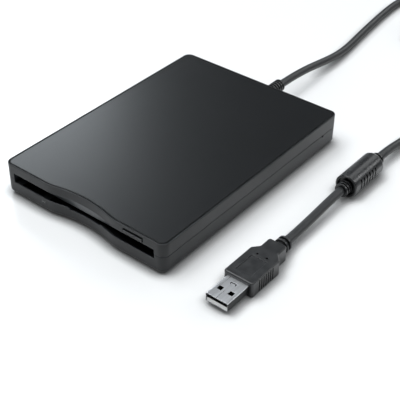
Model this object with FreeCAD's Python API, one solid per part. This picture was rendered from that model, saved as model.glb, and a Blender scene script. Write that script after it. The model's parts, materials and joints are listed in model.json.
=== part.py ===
"""External floppy disk drive with its lead, plug and disk loading mechanism.

Millimetres. +Z is up, the disk mouth faces -Y, +X is to the right seen from the
front. The origin is the middle of the housing's footprint, on the table.
"""
import FreeCAD
import Part
import math
import os

V = FreeCAD.Vector
X_AXIS, Y_AXIS, Z_AXIS = V(1, 0, 0), V(0, 1, 0), V(0, 0, 1)

# ---- how forms are joined and cut ------------------------------------------
INTO = 0.2        # how far a joined form runs into its carrier
PAST = 1.0        # how far a cutter runs past the face that it opens
SAME = 1e-6       # lengths closer than this are equal

# ---- housing -------------------------------------------------------------
SIDE_ROOM = 1.7
BACK_ROOM = 2.7
HEAD_ROOM = 0.2
CORNER_RADIUS = 4.0
BOTTOM_EDGE_RADIUS = 2.0
WALL = 1.8
FLOOR = 1.6
ROOF = 1.6
LOWER_SHELL_HEIGHT = 9.6
SEAM_GROOVE = 0.15
TONGUE_WIDTH = 0.8
TONGUE_HEIGHT = 1.4
TONGUE_CLEARANCE = 0.1
WAVE_DEPTH = 2.9
WAVE_RADIUS = 70.0
WAVE_BLEND_RADIUS = 30.0
RIM = 0.5
RIM_ROUND = 0.3
PANEL_GAP = 0.4
PANEL_THICKNESS = 0.8
PANEL_EDGE_ROUND = 0.2
FOOT_PROUD = 0.8
FOOT_RADIUS = 4.5
FOOT_RECESS = 0.5
FOOT_INSET = 11.5
FOOT_FIT = 0.1
FOOT_BEVEL = 0.5
BOSS_RADIUS = 2.6
BOSS_INSET_X = 5.6
BOSS_INSET_Y = 5.4
RIB = 1.0
RIB_PITCH = 24.0
RIB_COUNT = 5
RIB_BELOW_SEAM = 1.0
LATCH_WIDTH = 1.5
LATCH_HEIGHT = 1.0
LATCH_DEPTH = 0.8
LATCH_FROM_BACK = 14.5
SCREW_HEAD_RADIUS = 2.1
SCREW_HEAD_HEIGHT = 1.1
SCREW_HEAD_BEVEL = 0.4
SCREW_HEAD_SINK = 0.2
SCREW_HEAD_ROOM = 0.2
SCREW_SHANK_RADIUS = 1.0
SCREW_SHANK_ROOM = 0.15
SCREW_POINT = 0.5
SCREW_CROSS_REACH = 1.2
SCREW_CROSS_HALF = 0.2
SCREW_CROSS_DEPTH = 0.6
SCREW_PILOT_RADIUS = 0.8
SCREW_PILOT_DEPTH = 3.4
CASE_SCREW_GRIP = 3.0
CHASSIS_SCREW_OUT = 0.6

# ---- disk and its mouth --------------------------------------------------
DISK_WIDTH = 90.0
DISK_LENGTH = 94.0
DISK_THICKNESS = 3.3
DISK_LIFT = 5.8
DISK_SETBACK = 11.5
HUB_FROM_LEADING_EDGE = 46.0
LOAD_DROP = 2.5
EJECT_TRAVEL = 4.5
MOUTH_SIDE_GAP = 0.3
MOUTH_TAPER = 0.3
MOUTH_BELOW = 1.4
MOUTH_ABOVE = 0.7
CHEEK = 1.2
CHEEK_REACH = 7.5
LIP = 0.6
LIP_DROP = 1.2
FINGER_NOTCH_WIDTH = 20.0
FINGER_NOTCH_DEPTH = 0.85

# ---- dust door -----------------------------------------------------------
DOOR_INSET_LEFT = 4.2
DOOR_INSET_RIGHT = 1.3
DOOR_SETBACK = 4.3
DOOR_THICKNESS = 0.9
DOOR_CLEARANCE = 0.2
DOOR_PIN_RADIUS = 0.4
DOOR_PIN_LENGTH = 1.4
DOOR_EDGE_ROUND = 0.36
LUG = 1.0
LUG_HALF = 1.0
LUG_BELOW_PIN = 0.9
LUG_GAP = 0.3
LUG_ROOM = 0.8
PIN_HOLE_REACH = 2.0
PIN_CLEARANCE = 0.05

# ---- eject button --------------------------------------------------------
BUTTON_INSET = 6.7
BUTTON_WIDTH = 11.2
BUTTON_HEIGHT = 1.5
BUTTON_LENGTH = 7.8
BUTTON_PROUD = 0.5
BUTTON_GAP_SIDE = 0.5
BUTTON_GAP_TOP = 1.05
BUTTON_GAP_BELOW = 0.2
BUTTON_BACK_ROOM = 0.3
BUTTON_WEB = 0.45
BUTTON_WALL = 0.7
BUTTON_EDGE_ROUND = 0.25
BUTTON_RIBS = 14
BUTTON_RIB_MARGIN = 0.8
BUTTON_RIB_GROOVE = 0.26
BUTTON_RIB_DEPTH = 0.2
BUTTON_RIB_END = 0.25
STEM_WIDTH = 6.0
STEM_GRIP = 4.0

# ---- sheet metal chassis -------------------------------------------------
CHASSIS_SHEET = 0.8
CHASSIS_TAIL = 4.5
SEAT_HEIGHT = 0.3
SEAT_RADIUS = 4.0
FLANGE_WINDOW_SILL = 6.3
FLANGE_FRONT_INSET = 2.0
FLANGE_BACK_INSET = 1.0
WINDOW_AFTER_PEG = 6.0
WINDOW_BEFORE_PEG = 18.0
BACK_WINDOW_AFTER_PEG = 24.0
CHASSIS_TAIL_SPAN = (-40.0, 36.0)
DECK_WINDOW_X = 34.0
DECK_WINDOW_HALF = 9.0
DECK_WINDOW_START = 34.0
DECK_WINDOW_LENGTH = 24.0
EAR_HALF = 2.4
RAIL_EAR_RISE = 2.0
RAIL_EAR_SHEET = 1.2
RAIL_EAR_BEHIND_MOTOR_FACE = 5.0
SCREW_EAR_RISE = 1.8
EAR_BEFORE_CARRIAGE = 2.2
SPRING_ANCHOR = 4.4
SPRING_ANCHOR_SHEET = 0.6
SPRING_ANCHOR_AFTER_DISK = 1.4
COVER_SHEET = 0.35
COVER_TAB = 2.6
COVER_TAB_AFTER_PEG = 14.0
COVER_FRONT_INSET = 4.0
COVER_BACK_INSET = 0.5
COVER_WINDOW_RADIUS = 16.0
HEAD_WINDOW_HALF = 14.0
HEAD_WINDOW_BEFORE = 26.0
HEAD_WINDOW_AFTER = 4.0
TRAY_SHEET = 0.5
TRAY_SIDE_CLEARANCE = 0.2
TRAY_HEADROOM = 0.15
TRAY_LEDGE = 4.2
TRAY_FRONT_GAP = 3.5
TRAY_TAIL = 14.0
TRAY_BACK_INSET = 1.0
TRAY_BELOW_DISK = 0.1
TRAY_TAIL_RIGHT = -15.0
TRAY_TAIL_BEYOND_PIVOT = 2.0
TRAY_HEAD_SLOT_HALF = 12.0
TRAY_HEAD_SLOT_BEFORE = 23.0
TRAY_WINDOW_RADIUS = 14.0
TRAY_WINDOW_HALF = 30.0
TRAY_WINDOW_INSET = 6.0
TRAY_WINDOW_LENGTH = 14.0
PEG_RADIUS = 0.9
PEG_REACH = 0.5
PEG_FRONT = 20.0
PEG_BACK = 78.0
PEG_ABOVE_MIDDLE = 0.25
SEAT_INSET = 8.0
SEAT_OFFSETS = (14.0, 104.0)
CAM_CLEARANCE = 0.1
CAM_LEG_HALF = 9.0
SLIDER_SHEET = 0.5
SLIDER_GAP = 0.9
SLIDER_ARM_SHEET = 0.6
ARM_TO_TRAY = 0.4
ARM_TO_FLANGE = 0.5
EAR_LENGTH = 5.0
EAR_BEFORE_PEGS = (10.0, 13.0)
SLIDER_FRONT_INSET = 0.7
SLIDER_BACK_INSET = 9.0
SLIDER_TAIL_AFTER_DISK = 21.2
SLIDER_STRIP = 4.0
SLIDER_HOOK_Z = 7.0
CAM_LEG_AHEAD = 2.0
CAM_LEG_BELOW = 1.7
SLIDER_HEAD_SLOT_HALF = 14.0
SLIDER_HEAD_SLOT_BEFORE = 28.0
SLIDER_WINDOW_RADIUS = 15.0
SLIDER_WINDOW_SPAN = (-24.0, 20.0)
SLIDER_WINDOW_INSET = 6.0
SLIDER_WINDOW_LENGTH = 18.0
SLIDER_LEVER_BAY_LEFT = -44.0
SLIDER_LEVER_BAY_BEYOND_PIVOT = 28.0
SLIDER_LEVER_BAY_BEFORE = 4.0
SLIDE_GAP = 0.05
SPRING_RADIUS = 1.4
SPRING_WIRE = 0.5
SPRING_COILS = 12
SPRING_INSET = 2.0
SPRING_Z = 8.5
SPRING_CREST = (0.3, 0.7)

# ---- shutter lever -------------------------------------------------------
LEVER_PIVOT_INSET = 5.0
LEVER_PIVOT_FROM_LEADING_EDGE = 10.0
LEVER_RADIUS = 25.6
LEVER_REST_ANGLE = -62.0
LEVER_SWING = 42.0
LEVER_SHEET = 0.4
LEVER_POST_RADIUS = 1.0
LEVER_POST_DROP = 3.0
LEVER_POST_ROOM = 0.3
LEVER_LIFT = 0.1
LEVER_HALF_WIDTH = 1.9
LEVER_EYE_RADIUS = 3.0
PIVOT_RADIUS = 1.5
PIVOT_HEIGHT = 0.6
PIVOT_HEAD_RADIUS = 2.2
PIVOT_HEAD_HEIGHT = 0.25

# ---- spindle motor -------------------------------------------------------
BOARD_THICKNESS = 0.8
SHAFT_RADIUS = 2.0
BUSH_RADIUS = 4.0
STATOR_POLES = 9
STATOR_RADIUS = 15.0
ROTOR_RADIUS = 19.3
ROTOR_TOP_ABOVE_BASE = 3.1
ROTOR_SKIRT = 1.8
HUB_SEAT_RADIUS = 11.5
DRIVE_PIN_OFFSET = 9.0
DRIVE_PIN_RADIUS = 0.7
DRIVE_PIN_HEIGHT = 1.1
MOTOR_BOARD_HALF = 32.0
MOTOR_BOARD_BEFORE_HUB = 26.0
MOTOR_BOARD_AFTER_HUB = 19.5
BOARD_TONGUE_HALF = 3.2
BOARD_TONGUE_INSET = 0.5
BUSH_FIT = 0.1
BUSH_HEIGHT = 2.2
BUSH_STEP = 0.6
STATOR_LIFT = 0.3
STATOR_IRON = 0.7
STATOR_RING_RADIUS = 6.4
STATOR_RING_INTO_BUSH = 0.4
STATOR_COLLAR_RADIUS = 5.4
STATOR_COLLAR_HEIGHT = 0.4
TOOTH_HALF = 1.0
TOOTH_START = 5.5
TOOTH_INSET = 0.6
SHOE_HALF = 2.6
SHOE_DEPTH = 1.2
WINDING_HALF = 1.6
WINDING_START = 7.6
WINDING_INSET = 1.8
WINDING_HEIGHT = 1.4
ROTOR_FLOAT = 0.1
ROTOR_SHEET = 0.5
ROTOR_SKIRT_SHEET = 0.7
HUB_SEAT_HEIGHT = 0.3
SPINDLE_TIP_BELOW_DISK = 0.7
SPINDLE_TIP_BEVEL = 0.5
MAGNET_HEIGHT = 1.2
MAGNET_GAP = 1.2

# ---- head positioner -----------------------------------------------------
HEAD_TRAVEL = 14.8
HEAD_FROM_HUB = 40.0
HEAD_BLOCK = 3.5
CARRIAGE_FROM_HEAD = 22.0
CARRIAGE_LENGTH = 6.0
RAIL_X = -10.0
RAIL_RADIUS = 1.0
RAIL_ABOVE_BASE = 3.5
SCREW_X = 22.0
SCREW_RADIUS = 1.2
SCREW_ABOVE_BASE = 4.9
STEPPER_RADIUS = 4.7
STEPPER_LENGTH = 9.5
STEPPER_GAP = 1.5
ARM_HALF_WIDTH = 6.3
ARM_PIVOT_ABOVE_BASE = 7.7
RAIL_FIT = 0.02
RAIL_OUT = 0.3
SCREW_GROOVES = 14
SCREW_GROOVE_DEPTH = 0.25
SCREW_PLAIN_END = 1.0
SCREW_FRONT_PLAY = 0.2
SCREW_BACK_PLAY = 0.3
SCREW_TIP_RADIUS = 0.6
SCREW_STUB_RADIUS = 0.75
SCREW_STUB_LENGTH = 4.5
STEPPER_BORE_RADIUS = 0.8
STEPPER_BORE_DEPTH = 5.0
STEPPER_FLANGE = 0.8
STEPPER_FLANGE_RISE = 3.0
CARRIAGE_MARGIN = 3.0
CARRIAGE_HALF_HEIGHT = 1.9
HEAD_ARM_SHEET = 1.0
HEAD_ARM_INTO = 0.1
HEAD_ARM_ROOT_HALF = 5.0
HEAD_ARM_TIP_HALF = 3.0
HEAD_ARM_ROOT = 2.0
HEAD_ARM_BEFORE_HEAD = 1.8
ARM_EAR = 1.5
ARM_EAR_GAP = 0.2
ARM_EAR_HALF = 1.6
ARM_EAR_ABOVE = 1.3
ARM_BAY_BELOW_PIVOT = 1.5
RAIL_BORE_FIT = 0.04
NUT_BORE_FIT = 0.08
WAIST_START = 4.5
WAIST_END = 9.3
WAIST_WALL = 1.5
WAIST_DEPTH = 1.2
HEAD_GROOVE_HALF = 0.3
HEAD_GROOVE_DEPTH = 0.3
HEAD_MEDIA_GAP = 0.05
ARM_LIFT = 0.2
UPPER_HEAD_HEIGHT = 0.6
ARM_SHEET = 0.5
ARM_BARREL_RADIUS = 1.2
ARM_RISER = (-4.2, -3.4)
ARM_BRIDGE_HALF = 0.4
ARM_BRIDGE_START = -4.0
ARM_BLADE_ROOT = 3.5
ARM_BLADE_BEFORE_HEAD = 2.4
ARM_PIN_RADIUS = 0.6

# ---- electronics ---------------------------------------------------------
LIGHT_INSET = 20.0
LIGHT_Z = 5.5
LIGHT_WIDTH = 2.6
LIGHT_HEIGHT = 1.3
LIGHT_PROUD = 0.05
LIGHT_BAR_END_GAP = 0.6
HOOD = 0.5
HOOD_REACH = 9.0
SWITCH_INSET = 6.5
BOARD_INSET = 4.0
BOARD_WIDTH = 28.0
BOARD_AFTER_DISK = 3.5
BOARD_BACK_INSET = 1.0
BOARD_STANDOFF = 0.8
SPACER_RADIUS = 1.2
SPACER_INSET = 2.0
CONTROLLER_AT = (5.0, 7.0)
CONTROLLER_SIZE = (9.0, 9.0, 1.3)
DRIVER_AT = (17.0, 4.0)
DRIVER_SIZE = (6.5, 6.5, 1.1)
CRYSTAL_AT = (17.0, 14.0)
CRYSTAL_SIZE = (7.0, 3.4, 1.5)
AMPLIFIER_AT = (4.0, 19.0)
AMPLIFIER_SIZE = (5.0, 3.2, 1.0)
HEADER_WIDTH = 8.5
HEADER_DEPTH = 4.0
HEADER_HEIGHT = 3.6
HEADER_INSET = 0.5
HEADER_WALL = 0.6
HEADER_FLOOR = 0.8
SWITCH_AFTER_FRONT = 7.0
SWITCH_HALF_WIDTH = 2.4
SWITCH_HALF_DEPTH = 2.2
SWITCH_HEIGHT = 2.4
SWITCH_BORE_START = 0.4
PLUNGER_RADIUS = 0.8
PLUNGER_START = 1.3
PLUNGER_TOP = 4.1
PLUNGER_BEVEL = 0.4
CABLE_FROM_RAIL = (-6.0, -3.2)
CABLE_SHEET = 0.2
CABLE_TOP_ABOVE_RAIL = 3.2
CABLE_RUN = 6.0
CABLE_FOLD = 2.8
LIGHT_SOURCE_HALF = 1.6
LIGHT_SOURCE_START = -0.5
LIGHT_SOURCE_END = 2.0
LIGHT_SOURCE_RISE = 1.2
LIGHT_SOURCE_LIP = 0.4
LIGHT_SOURCE_SHADE = 0.9

# ---- lead ----------------------------------------------------------------
CORD_RADIUS = 2.25
CORD_FIT = 0.05
CORD_BEND_SHARE = 0.45    # how much of the shorter run each bend takes up
CORD_X = 4.0
NECK_SLEEVE = 0.4
NECK_RING_WIDTH = 0.9
NECK_RING_PITCH = 1.8
RELIEF_LENGTH = 14.4
RELIEF_ROOT = 5.4
RELIEF_RADIUS = 3.6
RELIEF_RINGS = 5
RELIEF_PINCH = 0.7
RELIEF_FLANGE = 0.7
RELIEF_FLANGE_THICKNESS = 2.1
RELIEF_FIT = 0.1
COIL_CENTRE = (46.0, 222.0)
COIL_RADIUS = 25.0
COIL_LAYER_RISE = 3.9
COIL_EDGE_ROUND = 1.9
BEAD_X = 82.2
BEAD_FRONT_Y = 32.0
BEAD_LENGTH = 27.6
BEAD_RADIUS = 6.2
BEAD_SHOULDER = 1.8
BEAD_RIM_ROUND = 0.5
BEAD_CUP_RADIUS = 5.1
BEAD_CUP_DEPTH = 1.6
BEAD_NECK_RADIUS = 3.6
BEAD_FRONT_NECK = 4.4
BEAD_FRONT_RINGS = 3
BEAD_BACK_NECK = 3.6
BEAD_BACK_RINGS = 2
BEAD_FLAT = 0.3
BEAD_GROOVES = 6
BEAD_GROOVE_START = 5.0
BEAD_GROOVE_PITCH = 2.7
BEAD_GROOVE_WIDTH = 1.0
BEAD_GROOVE_DEPTH = 0.8
BEAD_GROOVE_REACH = 3.6
BEAD_CLIPS = (1.8, 23.0)
BEAD_CLIP = 1.2
FERRITE_RADIUS = 4.7
FERRITE_BORE = 3.0
FERRITE_START = 3.2
FERRITE_LENGTH = 21.4
FERRITE_FIT = 0.1
PLUG_X = 82.4
PLUG_FRONT_Y = -72.8
PLUG_SHELL_WIDTH = 12.0
PLUG_SHELL_HEIGHT = 4.5
PLUG_SHELL_WALL = 0.3
PLUG_SHELL_ROUND = 0.45
PLUG_SHELL_OUT = 15.0
PLUG_SHELL_IN = 5.8
PLUG_HOLE_OFFSET = 3.0
PLUG_HOLE_START = 5.2
PLUG_HOLE_WIDTH = 2.5
PLUG_HOLE_LENGTH = 2.4
PLUG_LATCH_START = 11.2
PLUG_LATCH_WIDTH = 3.2
PLUG_LATCH_LENGTH = 1.4
PLUG_LATCH_SLIT = 0.5
INSERT_SETBACK = 0.3
INSERT_BELOW_MIDDLE = 0.25
INSERT_BLOCK = 2.5
CONTACT_OFFSETS = (-3.5, -1.0, 1.0, 3.5)
CONTACT_STARTS = (1.0, 2.0, 2.0, 1.0)
CONTACT_WIDTH = 1.0
CONTACT_DEPTH = 0.3
CONTACT_PROUD = 0.05
GRIP_WIDTH = 16.0
GRIP_HEIGHT = 8.4
GRIP_LENGTH = 20.5
GRIP_SHOULDER = 3.4
GRIP_CORNER_ROUND = 1.3
GRIP_EDGE_ROUND = 0.7
GRIP_PANEL_HALF = 4.2
GRIP_PANEL_START = 4.0
GRIP_PANEL_LENGTH = 12.0
GRIP_PANEL_DEPTH = 0.25
GRIP_DOT_RADIUS = 0.65
GRIP_DOT_DEPTH = 0.6
GRIP_DOT_OFFSET = 2.6
GRIP_DOT_GAP = 2.2
GRIP_RIBS = 7
GRIP_RIB_START = 5.0
GRIP_RIB_PITCH = 1.7
GRIP_RIB_WIDTH = 0.7
GRIP_RIB_DEPTH = 0.35
GRIP_RIB_END = 0.9
NECK_WIDTH = 10.0
NECK_LENGTH = 7.2
TAIL_LENGTH = 5.8
TAIL_RADIUS = 3.8
TAIL_RINGS = 2
TAIL_RING_PITCH = 2.6
CORD_GRIP = 2.4

# The lead's route: corner points of straight runs, on the table where it lies.
OUT_ROUTE = [
    (4.0, 66.0, 10.4), (4.0, 92.0, 10.4), (4.5, 112.0, 9.3), (4.7, 130.0, 6.4),
    (4.3, 147.0, 3.6), (2.9, 163.0, 2.3), (0.4, 181.0, 2.3), (-1.9, 201.0, 2.3),
    (-3.8, 220.0, 2.3), (-4.5, 237.0, 2.3), (-2.6, 251.0, 2.3), (6.4, 262.0, 2.3),
    (20.0, 266.0, 2.3), (33.5, 262.0, 2.3), (46.0, 254.0, 2.3), (59.6, 245.6, 2.3),
]
IN_ROUTE = [
    (73.2, 222.0, 2.3), (74.6, 202.0, 2.3), (79.0, 183.0, 2.3), (84.6, 164.0, 2.3),
    (87.8, 145.0, 2.3), (87.2, 127.0, 2.3), (84.6, 110.0, 2.3), (82.0, 93.0, 2.8),
    (82.2, 72.5, 6.2), (82.2, 20.0, 6.2), (82.5, 1.0, 5.1), (82.4, -14.5, 4.2),
    (82.4, -29.0, 4.2),
]

# ---- levels, worked out from the table up -----------------------------------
BOTTOM_Z = FOOT_PROUD
PARTING_Z = BOTTOM_Z + LOWER_SHELL_HEIGHT
FLOOR_Z = BOTTOM_Z + FLOOR
BASE_Z = FLOOR_Z + SEAT_HEIGHT
BASE_TOP = BASE_Z + CHASSIS_SHEET
DISK_Z = BASE_TOP + DISK_LIFT
DISK_TOP = DISK_Z + DISK_THICKNESS
MOUTH_BOTTOM = DISK_Z - MOUTH_BELOW
NOTCH_BOTTOM = MOUTH_BOTTOM - FINGER_NOTCH_DEPTH
MOUTH_TOP = DISK_TOP + MOUTH_ABOVE
TRAY_ROOF_Z = DISK_TOP + TRAY_HEADROOM
TRAY_TOP = TRAY_ROOF_Z + TRAY_SHEET
SLIDER_Z = TRAY_TOP + SLIDER_GAP
SLIDER_TOP = SLIDER_Z + SLIDER_SHEET
FLANGE_TOP = SLIDER_Z - SLIDE_GAP
COVER_Z = SLIDER_TOP + HEAD_ROOM
CEILING_Z = COVER_Z + COVER_SHEET + HEAD_ROOM
PANEL_Z = CEILING_Z + ROOF
TOP_Z = PANEL_Z + PANEL_THICKNESS
PEG_Z = DISK_Z + DISK_THICKNESS / 2 + PEG_ABOVE_MIDDLE
DOOR_AXIS_Z = MOUTH_TOP + SLIDE_GAP
DOOR_BOTTOM = MOUTH_BOTTOM + DOOR_CLEARANCE
BUTTON_Z = MOUTH_TOP + BUTTON_WEB + BUTTON_GAP_BELOW
BUTTON_TOP = BUTTON_Z + BUTTON_HEIGHT
RAIL_Z = BASE_TOP + RAIL_ABOVE_BASE
SCREW_Z = BASE_TOP + SCREW_ABOVE_BASE
ARM_PIVOT_Z = BASE_TOP + ARM_PIVOT_ABOVE_BASE
ARM_HEAD_Z = DISK_TOP + ARM_LIFT
CONTROL_BOARD_Z = BASE_TOP + BOARD_STANDOFF
CONTROL_BOARD_TOP = CONTROL_BOARD_Z + BOARD_THICKNESS
ROTOR_TOP = BASE_TOP + ROTOR_TOP_ABOVE_BASE
LOADED_MEDIA_Z = DISK_Z - LOAD_DROP + DISK_THICKNESS / 2
CORD_Z = PARTING_Z
BEAD_Z = BEAD_RADIUS
PLUG_Z = GRIP_HEIGHT / 2

# ---- widths, worked out from the disk outwards ------------------------------
MOUTH_HALF = DISK_WIDTH / 2 + MOUTH_SIDE_GAP
TRAY_X = DISK_WIDTH / 2 + TRAY_SIDE_CLEARANCE
ARM_X = TRAY_X + TRAY_SHEET + ARM_TO_TRAY + SLIDER_ARM_SHEET
FLANGE_X = ARM_X + ARM_TO_FLANGE + CHASSIS_SHEET
HOUSING_WIDTH = 2 * (FLANGE_X + SIDE_ROOM + WALL)
DOOR_LEFT = -MOUTH_HALF + DOOR_INSET_LEFT
DOOR_RIGHT = MOUTH_HALF - DOOR_INSET_RIGHT
BUTTON_LEFT = MOUTH_HALF - BUTTON_INSET - BUTTON_WIDTH
LIGHT_X = -MOUTH_HALF + LIGHT_INSET
SWITCH_X = DISK_WIDTH / 2 - SWITCH_INSET
LEVER_PIVOT_X = -DISK_WIDTH / 2 + LEVER_PIVOT_INSET
SEAT_X = FLANGE_X - SEAT_INSET
BOARD_LEFT = -FLANGE_X + BOARD_INSET
BOARD_RIGHT = BOARD_LEFT + BOARD_WIDTH

# ---- stations from front to back --------------------------------------------
HUB_SETBACK = DISK_SETBACK + DISK_LENGTH - HUB_FROM_LEADING_EDGE
CARRIAGE_SETBACK = HUB_SETBACK + HEAD_FROM_HUB + CARRIAGE_FROM_HEAD
STEPPER_SETBACK = CARRIAGE_SETBACK + CARRIAGE_LENGTH + STEPPER_GAP
HOUSING_DEPTH = STEPPER_SETBACK + STEPPER_LENGTH + BACK_ROOM + WALL
FRONT_Y = -HOUSING_DEPTH / 2
BACK_Y = HOUSING_DEPTH / 2
CHASSIS_FRONT = FRONT_Y + DISK_SETBACK
LEADING_EDGE = CHASSIS_FRONT + DISK_LENGTH
HUB_Y = FRONT_Y + HUB_SETBACK
HEAD_Y = HUB_Y + HEAD_FROM_HUB
CARRIAGE_Y = FRONT_Y + CARRIAGE_SETBACK
ARM_PIVOT_Y = CARRIAGE_Y + CARRIAGE_LENGTH / 2
STEPPER_Y = FRONT_Y + STEPPER_SETBACK
CHASSIS_BACK = STEPPER_Y + STEPPER_LENGTH - CHASSIS_TAIL
TRAY_FRONT = CHASSIS_FRONT + TRAY_FRONT_GAP
TRAY_BACK = LEADING_EDGE - TRAY_BACK_INSET
SLIDER_FRONT = TRAY_FRONT + SLIDER_FRONT_INSET
SLIDER_BACK = LEADING_EDGE - SLIDER_BACK_INSET
SLIDER_TAIL = LEADING_EDGE + SLIDER_TAIL_AFTER_DISK
PIVOT_Y = LEADING_EDGE + LEVER_PIVOT_FROM_LEADING_EDGE
PEG_STATIONS = (CHASSIS_FRONT + PEG_FRONT, CHASSIS_FRONT + PEG_BACK)
DOOR_AXIS_Y = FRONT_Y + DOOR_SETBACK + DOOR_THICKNESS / 2
BUTTON_BACK = FRONT_Y - BUTTON_PROUD + BUTTON_LENGTH
MOUTH_BACK = FRONT_Y + WALL + WAVE_DEPTH + PAST
BOARD_FRONT = LEADING_EDGE + BOARD_AFTER_DISK
BOARD_BACK = CHASSIS_BACK - BOARD_BACK_INSET
SPRING_START = LEADING_EDGE + SPRING_ANCHOR_AFTER_DISK + SPRING_ANCHOR_SHEET
GRIP_FRONT_Y = PLUG_FRONT_Y + PLUG_SHELL_OUT
TAIL_Y = GRIP_FRONT_Y + GRIP_LENGTH + GRIP_SHOULDER + NECK_LENGTH
FOOT_PLACES = [(s * (HOUSING_WIDTH / 2 - FOOT_INSET), t * (HOUSING_DEPTH / 2 - FOOT_INSET))
               for s in (-1, 1) for t in (-1, 1)]
BACK_BOSS_X = HOUSING_WIDTH / 2 - BOSS_INSET_X
BACK_BOSS_Y = BACK_Y - BOSS_INSET_Y
SEAT_STATIONS = [(s * SEAT_X, CHASSIS_FRONT + y) for s in (-1, 1) for y in SEAT_OFFSETS]


# ---- form helpers ----------------------------------------------------------
def box(x, y, z):
    """A block between the low and high values given for each axis."""
    return Part.makeBox(x[1] - x[0], y[1] - y[0], z[1] - z[0], V(x[0], y[0], z[0]))


def rod(start, radius, length, axis=Z_AXIS):
    """A round bar from start along axis."""
    return Part.makeCylinder(radius, length, V(*start), axis)


def tube(start, outer, inner, length, axis=Z_AXIS):
    """A round bar with a bore through it."""
    return rod(start, outer, length, axis).cut(rod(start, inner, length, axis))


def turned(profile, base, axis=Z_AXIS):
    """A profile of (radius, height) corners revolved about axis through base."""
    corners = [V(r, 0, h) for r, h in profile]
    face = Part.Face(Part.makePolygon(corners + corners[:1]))
    solid = face.revolve(V(0, 0, 0), Z_AXIS, 360)
    solid.Placement = FreeCAD.Placement(V(*base), FreeCAD.Rotation(Z_AXIS, axis))
    return solid


def slot(start, end, radius, depth):
    """A round-ended slot from start to end, swept along the vector depth."""
    start, end = V(*start), V(*end)
    along = (end - start).normalize() * radius
    aside = depth.cross(end - start).normalize() * radius
    outline = [
        Part.LineSegment(start + aside, end + aside).toShape(),
        Part.Arc(end + aside, end + along, end - aside).toShape(),
        Part.LineSegment(end - aside, start - aside).toShape(),
        Part.Arc(start - aside, start - along, start + aside).toShape(),
    ]
    return Part.Face(Part.Wire(outline)).extrude(depth)


def plate(corners, z):
    """A flat plate of a polygon plan between two heights."""
    points = [V(x, y, z[0]) for x, y in corners]
    return Part.Face(Part.makePolygon(points + points[:1])).extrude(V(0, 0, z[1] - z[0]))


def both_sides(shape):
    """The shape and its mirror image across the middle plane."""
    return shape.fuse(shape.mirror(V(0, 0, 0), X_AXIS))


def edges_at(shape, z):
    """The edges that lie flat at one height."""
    return [e for e in shape.Edges if all(abs(v.Z - z) < SAME for v in e.Vertexes)]


def upright_edges(shape):
    """The straight edges that run along Z."""
    return [
        e for e in shape.Edges
        if len(e.Vertexes) == 2 and isinstance(e.Curve, Part.Line)
        and abs(e.Vertexes[0].X - e.Vertexes[1].X) < SAME
        and abs(e.Vertexes[0].Y - e.Vertexes[1].Y) < SAME
    ]


def save(name, shape):
    """Write one piece as a STEP file named after its node."""
    shape.exportStep("parts/" + name + ".step")


# ---- housing -------------------------------------------------------------
def wave_span():
    """Half the width of the hollow in the front, from its two radii and depth."""
    reach = WAVE_RADIUS + WAVE_BLEND_RADIUS
    return math.sqrt(2 * WAVE_DEPTH * reach - WAVE_DEPTH ** 2)


def plan_outline(inset, z):
    """The housing's plan with its hollowed front, drawn inset by a wall."""
    side, back, front = HOUSING_WIDTH / 2 - inset, BACK_Y - inset, FRONT_Y + inset
    corner = CORNER_RADIUS - inset
    diagonal = corner * (1 - math.sqrt(0.5))
    span = wave_span()
    tilt = math.asin(span / (WAVE_RADIUS + WAVE_BLEND_RADIUS))
    blend = WAVE_BLEND_RADIUS - inset
    middle_y = FRONT_Y + WAVE_DEPTH + inset

    def on_blend(angle, sign):
        x = sign * (span - blend * math.sin(angle))
        return V(x, FRONT_Y + WAVE_BLEND_RADIUS - blend * math.cos(angle), z)

    def corner_arc(x, y, x_sign, y_sign):
        first = V(x, y - y_sign * corner, z)
        last = V(x - x_sign * corner, y, z)
        middle = V(x - x_sign * diagonal, y - y_sign * diagonal, z)
        return first, middle, last

    points = [on_blend(0, 1), V(side - corner, front, z)]
    edges = [Part.LineSegment(*points)]
    arc = corner_arc(side, front, 1, -1)
    edges += [Part.Arc(arc[2], arc[1], arc[0])]
    second = corner_arc(side, back, 1, 1)
    edges += [Part.LineSegment(arc[0], second[0]), Part.Arc(*second)]
    third = corner_arc(-side, back, -1, 1)
    edges += [Part.LineSegment(second[2], third[2]), Part.Arc(third[2], third[1], third[0])]
    fourth = corner_arc(-side, front, -1, -1)
    edges += [Part.LineSegment(third[0], fourth[0]), Part.Arc(*fourth)]
    edges += [Part.LineSegment(fourth[2], on_blend(0, -1))]
    edges += [Part.Arc(on_blend(0, -1), on_blend(tilt / 2, -1), on_blend(tilt, -1))]
    edges += [Part.Arc(on_blend(tilt, -1), V(0, middle_y, z), on_blend(tilt, 1))]
    edges += [Part.Arc(on_blend(tilt, 1), on_blend(tilt / 2, 1), on_blend(0, 1))]
    return Part.Wire([e.toShape() for e in edges])


def prism(inset, low, high):
    """The plan outline at an inset, raised between two heights."""
    return Part.Face(plan_outline(inset, low)).extrude(V(0, 0, high - low))


def mouth_cutter(low, high):
    """The tapered opening through the front wall, from the face inwards."""
    face, inside = MOUTH_HALF + MOUTH_TAPER, MOUTH_HALF
    taper_y, back_y = FRONT_Y + WALL, MOUTH_BACK
    plan = [
        (-face, FRONT_Y - PAST), (face, FRONT_Y - PAST), (face, FRONT_Y), (inside, taper_y),
        (inside, back_y), (-inside, back_y), (-inside, taper_y), (-face, FRONT_Y),
    ]
    return plate(plan, (low, high))


def cheeks(low, high):
    """The two guide walls that carry the mouth's ends inwards."""
    wall = box((MOUTH_HALF, MOUTH_HALF + CHEEK),
               (FRONT_Y + WALL - INTO, FRONT_Y + CHEEK_REACH), (low, high))
    return both_sides(wall)


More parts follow.
